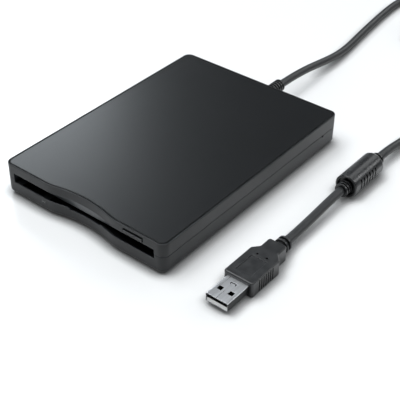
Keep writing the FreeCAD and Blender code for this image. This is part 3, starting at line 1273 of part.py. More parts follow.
def head_carriage():
    """The block on rail and screw, with the lower head arm and arm ears."""
    low, high = carriage_foot(), SCREW_Z + CARRIAGE_HALF_HEIGHT
    y = (CARRIAGE_Y, CARRIAGE_Y + CARRIAGE_LENGTH)
    sheet_low, root_end = low - HEAD_ARM_SHEET + HEAD_ARM_INTO, CARRIAGE_Y + HEAD_ARM_ROOT
    block = box((RAIL_X - CARRIAGE_MARGIN, SCREW_X + CARRIAGE_MARGIN), y, (low, high))
    arm = tapered_plate(HEAD_ARM_ROOT_HALF, CARRIAGE_Y + HEAD_ARM_ROOT / 2, HEAD_ARM_TIP_HALF,
                        HEAD_Y - HEAD_ARM_BEFORE_HEAD, (sheet_low, low + HEAD_ARM_INTO))
    root = box((-HEAD_ARM_ROOT_HALF, HEAD_ARM_ROOT_HALF), (CARRIAGE_Y, root_end),
               (sheet_low, low + INTO))
    ear = box((ARM_HALF_WIDTH + ARM_EAR_GAP, ARM_HALF_WIDTH + ARM_EAR_GAP + ARM_EAR),
              (ARM_PIVOT_Y - ARM_EAR_HALF, ARM_PIVOT_Y + ARM_EAR_HALF),
              (high - INTO, ARM_PIVOT_Z + ARM_EAR_ABOVE))
    body = block.multiFuse([arm, root, both_sides(ear)])
    bay_half, before, through = ARM_HALF_WIDTH + ARM_EAR_GAP, y[0] - PAST, y[1] - y[0] + 2 * PAST
    bay = box((-bay_half, bay_half), (before, before + through),
              (ARM_PIVOT_Z - ARM_BAY_BELOW_PIVOT, high + PAST))
    rail_bore = rod((RAIL_X, before, RAIL_Z), RAIL_RADIUS + RAIL_BORE_FIT, through, Y_AXIS)
    nut_bore = rod((SCREW_X, before, SCREW_Z), SCREW_RADIUS + NUT_BORE_FIT, through, Y_AXIS)
    waist = box((RAIL_X + WAIST_START, WAIST_END), (y[0] + WAIST_WALL, y[1] - WAIST_WALL),
                (low - PAST, low + WAIST_DEPTH))
    ear_bore = across_arm(ARM_PIN_RADIUS + PIN_CLEARANCE, ARM_EAR_GAP + ARM_EAR + PAST)
    return body.cut(bay.multiFuse([rail_bore, nut_bore, waist, ear_bore]))


def carriage_foot():
    """The underside of the carriage block."""
    return RAIL_Z - CARRIAGE_HALF_HEIGHT


def tapered_plate(root_half, root_y, tip_half, tip_y, z):
    """A flat arm, wide at its root and narrow at its tip."""
    return plate([(-root_half, root_y), (-tip_half, tip_y), (tip_half, tip_y),
                  (root_half, root_y)], z)


def across_arm(radius, out):
    """A rod along the arm's hinge, standing out of the arm on both sides."""
    return rod((-ARM_HALF_WIDTH - out, ARM_PIVOT_Y, ARM_PIVOT_Z), radius,
               2 * (ARM_HALF_WIDTH + out), X_AXIS)


def lower_head():
    """The read-write head that touches the disk's underside."""
    return head_block(carriage_foot() + HEAD_ARM_INTO, LOADED_MEDIA_Z - HEAD_MEDIA_GAP)


def head_block(low, high):
    """One ceramic head: a square block, grooved where it meets the disk."""
    half, groove = HEAD_BLOCK / 2, HEAD_GROOVE_HALF
    body = box((-half, half), (HEAD_Y - half, HEAD_Y + half), (low, high))
    return body.cut(box((-groove, groove), (HEAD_Y - half - PAST, HEAD_Y + half + PAST),
                        (high - HEAD_GROOVE_DEPTH, high + PAST)))


def upper_arm():
    """The hinged arm above the disk, from its pivot out to the upper head."""
    blade_z = (ARM_HEAD_Z + UPPER_HEAD_HEIGHT, ARM_HEAD_Z + UPPER_HEAD_HEIGHT + ARM_SHEET)
    x, low = (-ARM_HALF_WIDTH, ARM_HALF_WIDTH), ARM_PIVOT_Z - ARM_BRIDGE_HALF
    riser = box(x, (ARM_PIVOT_Y + ARM_RISER[0], ARM_PIVOT_Y + ARM_RISER[1]), (low, blade_z[1]))
    bridge = box(x, (ARM_PIVOT_Y + ARM_BRIDGE_START, ARM_PIVOT_Y),
                 (low, ARM_PIVOT_Z + ARM_BRIDGE_HALF))
    blade = tapered_plate(ARM_HALF_WIDTH, ARM_PIVOT_Y - ARM_BLADE_ROOT, HEAD_ARM_TIP_HALF,
                          HEAD_Y - ARM_BLADE_BEFORE_HEAD, blade_z)
    body = across_arm(ARM_BARREL_RADIUS, 0).multiFuse([riser, bridge, blade])
    return body.cut(across_arm(ARM_PIN_RADIUS, PAST))


def arm_pin():
    """The pin through the carriage ears that the upper arm turns with."""
    return across_arm(ARM_PIN_RADIUS, ARM_EAR_GAP + ARM_EAR)


def upper_head():
    """The read-write head on the upper arm."""
    half = HEAD_BLOCK / 2
    return box((-half, half), (HEAD_Y - half, HEAD_Y + half),
               (ARM_HEAD_Z, ARM_HEAD_Z + UPPER_HEAD_HEIGHT))


# ---- electronics ---------------------------------------------------------
def control_board():
    """The main circuit board at the back left, on stubby spacers."""
    board = box((BOARD_LEFT, BOARD_RIGHT), (BOARD_FRONT, BOARD_BACK),
                (CONTROL_BOARD_Z, CONTROL_BOARD_TOP))
    spacers = [rod((x, y, BASE_TOP), SPACER_RADIUS, BOARD_STANDOFF + INTO)
               for x in (BOARD_LEFT + SPACER_INSET, BOARD_RIGHT - SPACER_INSET)
               for y in (BOARD_FRONT + SPACER_INSET, BOARD_BACK - SPACER_INSET)]
    return board.multiFuse(spacers)


def chip(place, size):
    """One flat block on the control board."""
    x, y = BOARD_LEFT + place[0], BOARD_FRONT + place[1]
    return box((x, x + size[0]), (y, y + size[1]),
               (CONTROL_BOARD_TOP, CONTROL_BOARD_TOP + size[2]))


def board_chips():
    """The controller, the motor driver, the crystal and the head amplifier."""
    return Part.makeCompound([chip(CONTROLLER_AT, CONTROLLER_SIZE), chip(DRIVER_AT, DRIVER_SIZE),
                              chip(CRYSTAL_AT, CRYSTAL_SIZE),
                              chip(AMPLIFIER_AT, AMPLIFIER_SIZE)])


def cord_header():
    """The five-way socket where the lead's wires plug into the board."""
    left, front = BOARD_RIGHT - HEADER_INSET - HEADER_WIDTH, BOARD_BACK - HEADER_INSET - HEADER_DEPTH
    x, y = (left, left + HEADER_WIDTH), (front, front + HEADER_DEPTH)
    top = CONTROL_BOARD_TOP + HEADER_HEIGHT
    way_in = box((x[0] + HEADER_WALL, x[1] - HEADER_WALL), (y[0] + HEADER_WALL, y[1] + PAST),
                 (CONTROL_BOARD_TOP + HEADER_FLOOR, top - HEADER_FLOOR))
    return box(x, y, (CONTROL_BOARD_TOP, top)).cut(way_in)


def switch_place(side):
    """Where the middle of a sensing switch stands."""
    return (side * SWITCH_X, CHASSIS_FRONT + SWITCH_AFTER_FRONT, BASE_TOP)


def switch_body(side):
    """A small sensing switch near a front corner of the disk."""
    x, y, z = switch_place(side)
    body = box((x - SWITCH_HALF_WIDTH, x + SWITCH_HALF_WIDTH),
               (y - SWITCH_HALF_DEPTH, y + SWITCH_HALF_DEPTH), (z, z + SWITCH_HEIGHT))
    return body.cut(rod((x, y, z + SWITCH_BORE_START), PLUNGER_RADIUS + PIN_CLEARANCE,
                        SWITCH_HEIGHT + PAST))


def switch_plunger(side):
    """The sprung button of a sensing switch."""
    profile = [(0, PLUNGER_START), (PLUNGER_RADIUS, PLUNGER_START),
               (PLUNGER_RADIUS, PLUNGER_TOP - PLUNGER_BEVEL),
               (PLUNGER_RADIUS - PLUNGER_BEVEL, PLUNGER_TOP), (0, PLUNGER_TOP)]
    return turned(profile, switch_place(side))


def head_cable():
    """The flat flexible cable looping from the carriage down to the board."""
    x = (RAIL_X + CABLE_FROM_RAIL[0], RAIL_X + CABLE_FROM_RAIL[1])
    y, top = CARRIAGE_Y + CARRIAGE_LENGTH / 2, RAIL_Z + CABLE_TOP_ABOVE_RAIL
    drop = box(x, (y, y + CABLE_SHEET), (CONTROL_BOARD_TOP, top))
    run = box((x[0] - CABLE_RUN, x[1]), (y, y + CABLE_FOLD), (top - CABLE_SHEET, top))
    return drop.fuse(run)


# ---- lead ----------------------------------------------------------------
def ringed_neck(base, length, ring_starts, radius):
    """A thin sleeve round the lead, from base along +Y, with flat rings on it."""
    bore = CORD_RADIUS + CORD_FIT
    sleeve = tube(base, CORD_RADIUS + NECK_SLEEVE, bore, length, Y_AXIS)
    rings = [tube((base[0], base[1] + start, base[2]), radius, bore, NECK_RING_WIDTH, Y_AXIS)
             for start in ring_starts]
    return sleeve.multiFuse(rings).removeSplitter()


def rings_to_end(length, count, pitch):
    """Where rings start on a neck whose last ring is flush with its far end."""
    return [length - NECK_RING_WIDTH - i * pitch for i in range(count)]


def strain_relief():
    """The ringed sleeve clamped between the shells where the lead leaves."""
    bore, pinch = CORD_RADIUS + CORD_FIT, RELIEF_RADIUS - RELIEF_PINCH - RELIEF_FIT
    flange, inside = RELIEF_RADIUS + RELIEF_FLANGE, -WALL - RELIEF_FIT
    low = inside - RELIEF_FLANGE_THICKNESS
    profile = [
        (bore, low), (flange, low), (flange, inside), (pinch, inside), (pinch, RELIEF_FIT),
        (RELIEF_RADIUS, RELIEF_FIT), (RELIEF_RADIUS, RELIEF_ROOT), (bore, RELIEF_ROOT),
    ]
    root = turned(profile, (CORD_X, BACK_Y, CORD_Z), Y_AXIS)
    rings = rings_to_end(RELIEF_LENGTH, RELIEF_RINGS, NECK_RING_PITCH)
    neck = ringed_neck((CORD_X, BACK_Y, CORD_Z), RELIEF_LENGTH, rings, RELIEF_RADIUS)
    reach = tube((CORD_X, BACK_Y, CORD_Z), flange, bore, RELIEF_ROOT, Y_AXIS)
    return root.fuse(neck.cut(reach))


def route_wire(points, label):
    """Straight runs joined by tangent arcs, as large as the runs allow."""
    corners = [V(*p) for p in points]
    edges, start, length = [], corners[0], 0.0
    for before, here, after in zip(corners, corners[1:], corners[2:]):
        back, ahead = before - here, after - here
        run = min(back.Length, ahead.Length)
        half_turn = (math.pi - back.getAngle(ahead)) / 2
        reach = CORD_BEND_SHARE * run
        radius = reach / math.tan(half_turn)
        back.normalize()
        ahead.normalize()
        first, last = here + back * reach, here + ahead * reach
        inward = (back + ahead).normalize()
        middle = here + inward * (radius / math.cos(half_turn) - radius)
        edges += [Part.LineSegment(start, first).toShape(),
                  Part.Arc(first, middle, last).toShape()]
        length += (first - start).Length + 2 * half_turn * radius
        print(label, "bend radius", round(radius, 1), "mm")
        start = last
    edges.append(Part.LineSegment(start, corners[-1]).toShape())
    length += (corners[-1] - start).Length
    return Part.Wire(edges), length


def cord_tube(points, label):
    """The lead's round jacket along a route."""
    wire, length = route_wire(points, label)
    direction = V(*points[1]) - V(*points[0])
    ring = Part.Wire(Part.makeCircle(CORD_RADIUS, V(*points[0]), direction))
    body = wire.makePipeShell([ring], True, False)
    expected = math.pi * CORD_RADIUS ** 2 * length
    print(label, "length", round(length, 1), "volume ratio", round(body.Volume / expected, 4))
    return body


def cord_coil():
    """The put-away turns of the lead, lying as one neat ring."""
    width = 2 * CORD_RADIUS
    height = 2 * CORD_RADIUS + COIL_LAYER_RISE
    ring = tube((0, 0, 0), COIL_RADIUS + width, COIL_RADIUS - width, height)
    ring = ring.makeFillet(COIL_EDGE_ROUND, edges_at(ring, 0) + edges_at(ring, height))
    return ring.translated(V(*COIL_CENTRE, 0))


def bead_flank():
    """What is cut from the barrel's right side: a flat, curved grooves, clip marks."""
    right = BEAD_X + BEAD_RADIUS
    reach = box((BEAD_X, right + PAST), (BEAD_FRONT_Y, BEAD_FRONT_Y + BEAD_LENGTH),
                (BEAD_Z - BEAD_GROOVE_REACH, BEAD_Z + BEAD_GROOVE_REACH))
    grooves = [tube((BEAD_X, BEAD_FRONT_Y + BEAD_GROOVE_START + i * BEAD_GROOVE_PITCH, BEAD_Z),
                    BEAD_RADIUS + PAST, BEAD_RADIUS - BEAD_GROOVE_DEPTH, BEAD_GROOVE_WIDTH,
                    Y_AXIS)
               for i in range(BEAD_GROOVES)]
    flat = box((right - BEAD_FLAT, right + PAST), (BEAD_FRONT_Y, BEAD_FRONT_Y + BEAD_LENGTH),
               (0, 2 * BEAD_RADIUS))
    low = BEAD_Z - BEAD_GROOVE_REACH
    clips = [box((right - BEAD_CLIP - BEAD_GROOVE_DEPTH, right),
                 (BEAD_FRONT_Y + y, BEAD_FRONT_Y + y + BEAD_CLIP), (low - BEAD_CLIP, low))
             for y in BEAD_CLIPS]
    return [groove.common(reach) for groove in grooves] + clips + [flat]


def bead_cover():
    """The moulded barrel round the ferrite: cupped front, ringed necks, grooved flank."""
    bore, radius, length = CORD_RADIUS + CORD_FIT, BEAD_RADIUS, BEAD_LENGTH
    ease = BEAD_SHOULDER / 3
    barrel = turned([
        (bore, BEAD_CUP_DEPTH), (BEAD_CUP_RADIUS, BEAD_CUP_DEPTH), (BEAD_CUP_RADIUS, 0),
        (radius - BEAD_RIM_ROUND, 0), (radius, BEAD_RIM_ROUND),
        (radius, length - BEAD_SHOULDER), (radius - ease, length - ease),
        (radius - BEAD_SHOULDER, length), (bore, length),
    ], (BEAD_X, BEAD_FRONT_Y, BEAD_Z), Y_AXIS)
    front_neck = ringed_neck((BEAD_X, BEAD_FRONT_Y - BEAD_FRONT_NECK, BEAD_Z),
                             BEAD_FRONT_NECK + BEAD_CUP_DEPTH,
                             [i * NECK_RING_PITCH for i in range(BEAD_FRONT_RINGS)],
                             BEAD_NECK_RADIUS)
    back_neck = ringed_neck((BEAD_X, BEAD_FRONT_Y + length, BEAD_Z), BEAD_BACK_NECK,
                            rings_to_end(BEAD_BACK_NECK, BEAD_BACK_RINGS, NECK_RING_PITCH),
                            BEAD_NECK_RADIUS)
    chamber = tube((BEAD_X, BEAD_FRONT_Y + FERRITE_START - FERRITE_FIT, BEAD_Z),
                   FERRITE_RADIUS + FERRITE_FIT, FERRITE_BORE - FERRITE_FIT,
                   FERRITE_LENGTH + 2 * FERRITE_FIT, Y_AXIS)
    return barrel.multiFuse([front_neck, back_neck]).cut(chamber.multiFuse(bead_flank()))


def ferrite_core():
    """The ferrite ring inside the bead."""
    return tube((BEAD_X, BEAD_FRONT_Y + FERRITE_START, BEAD_Z), FERRITE_RADIUS, FERRITE_BORE,
                FERRITE_LENGTH, Y_AXIS)


def shell_space(grow):
    """The plug shell's outer block, grown on every side but its length."""
    half, rise = PLUG_SHELL_WIDTH / 2 + grow, PLUG_SHELL_HEIGHT / 2 + grow
    return box((PLUG_X - half, PLUG_X + half),
               (PLUG_FRONT_Y, GRIP_FRONT_Y + PLUG_SHELL_IN), (PLUG_Z - rise, PLUG_Z + rise))


def plug_shell():
    """The plug's folded steel shell with its latch holes."""
    body = shell_space(0)
    long_edges = [e for e in body.Edges if abs(e.Length - PLUG_SHELL_OUT - PLUG_SHELL_IN) < SAME]
    body = body.makeFillet(PLUG_SHELL_ROUND, long_edges).cut(shell_space(-PLUG_SHELL_WALL))
    through = (PLUG_Z - PLUG_SHELL_HEIGHT, PLUG_Z + PLUG_SHELL_HEIGHT)
    start = PLUG_FRONT_Y + PLUG_HOLE_START
    holes = [box((x - PLUG_HOLE_WIDTH / 2, x + PLUG_HOLE_WIDTH / 2),
                 (start, start + PLUG_HOLE_LENGTH), through)
             for x in (PLUG_X - PLUG_HOLE_OFFSET, PLUG_X + PLUG_HOLE_OFFSET)]
    return body.cut(holes[0].multiFuse(holes[1:] + [latch_slit()]))


def latch_slit():
    """The U-shaped slit in the shell's top that frees its small latch."""
    half, slit, start = PLUG_LATCH_WIDTH / 2, PLUG_LATCH_SLIT, PLUG_FRONT_Y + PLUG_LATCH_START
    z = (PLUG_Z, PLUG_Z + PLUG_SHELL_HEIGHT)
    notch = box((PLUG_X - half, PLUG_X + half), (start, start + PLUG_LATCH_LENGTH), z)
    latch = box((PLUG_X - half + slit, PLUG_X + half - slit),
                (start, start + PLUG_LATCH_LENGTH - slit), z)
    return notch.cut(latch)


def contact_strips(grow):
    """Four contact bars set into the top of the insert."""
    top = PLUG_Z - INSERT_BELOW_MIDDLE
    half = CONTACT_WIDTH / 2
    return [box((PLUG_X + x - half, PLUG_X + x + half),
                (PLUG_FRONT_Y + start, GRIP_FRONT_Y - INSERT_BLOCK),
                (top - CONTACT_DEPTH, top + CONTACT_PROUD + grow))
            for x, start in zip(CONTACT_OFFSETS, CONTACT_STARTS)]


def plug_insert():
    """The white tongue in the lower half of the plug's mouth."""
    half = PLUG_SHELL_WIDTH / 2 - PLUG_SHELL_WALL
    rise = PLUG_SHELL_HEIGHT / 2 - PLUG_SHELL_WALL
    x = (PLUG_X - half, PLUG_X + half)
    tongue = box(x, (PLUG_FRONT_Y + INSERT_SETBACK, GRIP_FRONT_Y),
                 (PLUG_Z - rise, PLUG_Z - INSERT_BELOW_MIDDLE))
    block = box(x, (GRIP_FRONT_Y - INSERT_BLOCK, GRIP_FRONT_Y + PLUG_SHELL_IN),
                (PLUG_Z - rise, PLUG_Z + rise))
    bars = contact_strips(1)
    return tongue.fuse(block).cut(bars[0].multiFuse(bars[1:]))


def plug_contacts():
    """The four plated contacts."""
    return Part.makeCompound(contact_strips(0))


def grip_outline():
    """The plan of the moulded grip: broad body, sloped shoulders, narrow neck."""
    wide, thin = GRIP_WIDTH / 2, NECK_WIDTH / 2
    shoulder = GRIP_FRONT_Y + GRIP_LENGTH
    half = [(wide, GRIP_FRONT_Y), (wide, shoulder), (thin, shoulder + GRIP_SHOULDER),
            (thin, TAIL_Y)]
    return [(PLUG_X + x, y) for x, y in half] + [(PLUG_X - x, y) for x, y in reversed(half)]


def grip_marks():
    """What is cut from the grip's skin: a shallow panel, two dots, flank ribs."""
    panel_y = (GRIP_FRONT_Y + GRIP_PANEL_START,
               GRIP_FRONT_Y + GRIP_PANEL_START + GRIP_PANEL_LENGTH)
    panel = box((PLUG_X - GRIP_PANEL_HALF, PLUG_X + GRIP_PANEL_HALF), panel_y,
                (GRIP_HEIGHT - GRIP_PANEL_DEPTH, GRIP_HEIGHT + PAST))
    dots = [rod((x, panel_y[1] + GRIP_DOT_GAP, GRIP_HEIGHT - GRIP_DOT_DEPTH),
                GRIP_DOT_RADIUS, GRIP_DOT_DEPTH + PAST)
            for x in (PLUG_X - GRIP_DOT_OFFSET, PLUG_X + GRIP_DOT_OFFSET)]
    ribs = []
    for i in range(GRIP_RIBS):
        y = GRIP_FRONT_Y + GRIP_RIB_START + i * GRIP_RIB_PITCH
        rib = box((GRIP_WIDTH / 2 - GRIP_RIB_DEPTH, GRIP_WIDTH / 2 + PAST),
                  (y, y + GRIP_RIB_WIDTH),
                  (GRIP_RIB_END, GRIP_HEIGHT - GRIP_RIB_END))
        ribs.append(both_sides(rib).translated(V(PLUG_X, 0, 0)))
    return [panel] + dots + ribs


def plug_grip():
    """The moulded grip with flank ribs, a shallow panel and a ringed tail."""
    body = plate(grip_outline(), (0, GRIP_HEIGHT))
    body = body.makeFillet(GRIP_CORNER_ROUND, upright_edges(body))
    body = body.makeFillet(GRIP_EDGE_ROUND, edges_at(body, 0) + edges_at(body, GRIP_HEIGHT))
    rings = rings_to_end(TAIL_LENGTH, TAIL_RINGS, TAIL_RING_PITCH)
    tail = ringed_neck((PLUG_X, TAIL_Y, PLUG_Z), TAIL_LENGTH, rings, TAIL_RADIUS)
    cord_hole = rod((PLUG_X, TAIL_Y - CORD_GRIP, PLUG_Z), CORD_RADIUS + CORD_FIT,
                    CORD_GRIP + TAIL_LENGTH, Y_AXIS)
    return body.fuse(tail).cut(shell_space(0).multiFuse([cord_hole] + grip_marks()))


# ---- build ---------------------------------------------------------------
PIECES = {
    "lower_shell": lower_shell,
    "upper_shell": upper_shell,
    "top_panel": top_panel,
    "rubber_feet": rubber_feet,
    "case_screws": case_screws,
    "chassis_screws": chassis_screws,
    "activity_light": activity_light,
    "dust_door": dust_door,
    "eject_button": eject_button,
    "chassis": chassis,
    "drive_cover": drive_cover,
    "disk_tray": disk_tray,
    "eject_slider": eject_slider,
    "slider_springs": slider_springs,
    "lever_pivot": lever_pivot,
    "shutter_lever": shutter_lever,
    "motor_board": motor_board,
    "light_source": light_source,
    "spindle_bush": spindle_bush,
    "stator": stator,
    "spindle_rotor": spindle_rotor,
    "rotor_magnet": rotor_magnet,
    "guide_rail": guide_rail,
    "stepper_motor": stepper_motor,
    "lead_screw": lead_screw,
    "head_carriage": head_carriage,
    "lower_head": lower_head,
    "upper_arm": upper_arm,
    "arm_pin": arm_pin,
    "upper_head": upper_head,
    "control_board": control_board,
    "board_chips": board_chips,
    "cord_header": cord_header,
    "head_cable": head_cable,
    "write_protect_switch": lambda: switch_body(1),
    "write_protect_plunger": lambda: switch_plunger(1),
    "density_switch": lambda: switch_body(-1),
    "density_plunger": lambda: switch_plunger(-1),
    "strain_relief": strain_relief,
    "usb_cord_out": lambda: cord_tube(OUT_ROUTE, "outgoing lead"),
    "cord_coil": cord_coil,
    "usb_cord_in": lambda: cord_tube(IN_ROUTE, "incoming lead"),
    "bead_cover": bead_cover,
    "ferrite_core": ferrite_core,
    "plug_shell": plug_shell,
    "plug_insert": plug_insert,
    "plug_contacts": plug_contacts,
    "plug_grip": plug_grip,
}


def build():
    """Make every piece and write it out."""
    os.makedirs("parts", exist_ok=True)
    for name, make in PIECES.items():
        shape = make()
        print(name, "solids", len(shape.Solids), "valid", shape.isValid())
        save(name, shape)


build()
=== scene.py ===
"""Looks of a slim external floppy disk drive with its lead, ferrite bead and flat plug.

Lengths are metres in the frame of the solids: X runs to the right, Y to the back, Z up. The
points of the lead and the sizes of its tie are millimetres until they become a surface.
"""

from __future__ import annotations

import json
import logging
import math
from dataclasses import dataclass
from enum import Enum

import bpy
import numpy as np
from bpy.types import Material, Node, NodeSocket, NodeTree, Object
from mathutils import Matrix, Vector

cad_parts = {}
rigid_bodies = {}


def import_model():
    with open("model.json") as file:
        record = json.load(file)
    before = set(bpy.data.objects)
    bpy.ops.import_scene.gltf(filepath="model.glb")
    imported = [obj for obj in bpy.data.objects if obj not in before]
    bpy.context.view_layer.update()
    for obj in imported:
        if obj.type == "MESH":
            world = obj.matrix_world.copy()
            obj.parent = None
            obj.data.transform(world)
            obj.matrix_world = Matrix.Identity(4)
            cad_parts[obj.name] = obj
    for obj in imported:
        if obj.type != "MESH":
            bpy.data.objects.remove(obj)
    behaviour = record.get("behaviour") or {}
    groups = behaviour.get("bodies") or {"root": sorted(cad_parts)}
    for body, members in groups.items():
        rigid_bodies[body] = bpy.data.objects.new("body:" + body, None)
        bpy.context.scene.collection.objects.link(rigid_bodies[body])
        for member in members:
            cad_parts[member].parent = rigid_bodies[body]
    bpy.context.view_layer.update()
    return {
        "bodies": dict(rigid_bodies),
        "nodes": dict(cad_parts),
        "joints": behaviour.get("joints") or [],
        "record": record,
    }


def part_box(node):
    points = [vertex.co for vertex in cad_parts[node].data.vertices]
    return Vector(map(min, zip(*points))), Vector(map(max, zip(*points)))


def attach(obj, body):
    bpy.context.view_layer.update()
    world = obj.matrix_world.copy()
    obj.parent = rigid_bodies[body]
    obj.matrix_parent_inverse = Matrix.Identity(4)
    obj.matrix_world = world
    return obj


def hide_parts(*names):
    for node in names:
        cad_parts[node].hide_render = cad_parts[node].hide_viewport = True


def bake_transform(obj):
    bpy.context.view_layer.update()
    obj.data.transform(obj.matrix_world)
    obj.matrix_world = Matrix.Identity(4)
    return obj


MM = 0.001
PLUG_MOUTH = -72.8 * MM
BLACK = (0.0005, 0.0005, 0.0005)
WHITE = (1.0, 1.0, 1.0)
SLOW_NOISE = (0.3, 0.7)
CLOUDS = 40.0
SHADER_SAMPLES = 6
LOG = logging.getLogger("floppy_drive")

Colour = tuple[float, float, float]
Point = tuple[float, float, float]
Range = tuple[float, float]


# ---- wiring ----------------------------------------------------------------
class Wiring:
    """A node tree that is being wired up."""

    def __init__(self, tree: NodeTree) -> None:
        """Start from an empty tree.

        Args:
            tree: the tree to fill; what it holds is removed.
        """
        self.tree = tree
        tree.nodes.clear()

    def add(self, kind: str, **settings: object) -> Node:
        """Add a node.

        Args:
            kind: the node's type without its ShaderNode prefix.
            settings: attributes to set on it.

        Returns:
            The new node.
        """
        node = self.tree.nodes.new("ShaderNode" + kind)
        for key, value in settings.items():
            setattr(node, key, value)
        return node

    def feed(self, target: NodeSocket, value: object) -> None:
        """Fill an input socket.

        Args:
            target: the input socket.
            value: a constant to set on it, or an output socket to link to it.
        """
        if isinstance(value, NodeSocket):
            self.tree.links.new(value, target)
        else:
            target.default_value = value

    def put(self, node: Node, **values: object) -> Node:
        """Fill inputs of a node.

        Args:
            node: the node.
            values: constants or sockets by the input's name, with spaces as underscores.

        Returns:
            The same node.
        """
        for key, value in values.items():
            self.feed(node.inputs[key.replace("_", " ")], value)
        return node

    def sum_of(self, operation: str, *values: object, kind: str = "Math",
               result: int | str = 0) -> NodeSocket:
        """Work out one value from others.

        Args:
            operation: Blender's name of the sum, such as MULTIPLY.
            values: constants or sockets, in order.
            kind: Math for numbers and VectorMath for vectors.
            result: which output to take.

        Returns:
            The socket that holds the result.
        """
        node = self.add(kind, operation=operation)
        for target, value in zip(node.inputs, values):
            self.feed(target, value)
        return node.outputs[result]

    def length_of(self, vector: NodeSocket) -> NodeSocket:
        """The length of a vector."""
        return self.sum_of("LENGTH", vector, kind="VectorMath", result="Value")

    def cosine(self, first: object, second: object) -> NodeSocket:
        """The cosine between two directions, which is their dot product."""
        return self.sum_of("DOT_PRODUCT", first, second, kind="VectorMath", result="Value")

    def spread(self, value: object, low: float, high: float, to_low: float, to_high: float,
               smooth: bool = False) -> NodeSocket:
        """Map a range of numbers onto another, held at its ends.

        Args:
            value: the socket to map.
            low: value that becomes to_low.
            high: value that becomes to_high.
            to_low: result at low.
            to_high: result at high.
            smooth: ease in and out of both ends.

        Returns:
            The socket that holds the result.
        """
        node = self.add("MapRange", clamp=True)
        node.interpolation_type = "SMOOTHSTEP" if smooth else "LINEAR"
        for target, number in zip(node.inputs, (value, low, high, to_low, to_high)):
            self.feed(target, number)
        return node.outputs[0]

    def wander(self, noise: NodeSocket, low: float, high: float) -> NodeSocket:
        """A number that goes from low to high as slow noise crosses its usual range."""
        return self.spread(noise, *SLOW_NOISE, low, high)

    def blend(self, share: object, first: object, second: object) -> NodeSocket:
        """Mix two colours.

        Args:
            share: how much of the second shows, from 0 to 1.
            first: colour or socket.
            second: colour or socket.

        Returns:
            The socket that holds the mixed colour.
        """
        node = self.add("Mix", data_type="RGBA")
        self.feed(node.inputs[0], share)
        for target, value in zip((node.inputs[6], node.inputs[7]), (first, second)):
            self.feed(target, (*value, 1.0) if isinstance(value, tuple) else value)
        return node.outputs[2]

    def object_place(self) -> NodeSocket:
        """The surface point in the frame of the solids, in metres."""
        return self.add("TexCoord").outputs["Object"]

    def axis(self, point: NodeSocket, name: str) -> NodeSocket:
        """The X, Y or Z of a point."""
        return self.put(self.add("SeparateXYZ"), Vector=point).outputs[name]

    def ray(self, kind: str) -> NodeSocket:
        """1 for the rays of one kind, such as Camera, and 0 for the others."""
        return self.add("LightPath").outputs[f"Is {kind} Ray"]

    def noise(self, place: NodeSocket, scale: object, detail: float) -> NodeSocket:
        """Cloudy noise from 0 to 1, with scale clouds to the metre and detail octaves."""
        return self.put(self.add("TexNoise"), Vector=place, Scale=scale, Detail=detail).outputs[0]

    def stretched(self, place: NodeSocket, scale: Point) -> NodeSocket:
        """A point scaled by a different number along each axis."""
        return self.put(self.add("Mapping"), Vector=place, Scale=scale).outputs[0]

    def use(self, group: NodeTree, **values: object) -> Node:
        """Place a shared effect's node group and fill its inputs."""
        return self.put(self.add("Group", node_tree=group), **values)


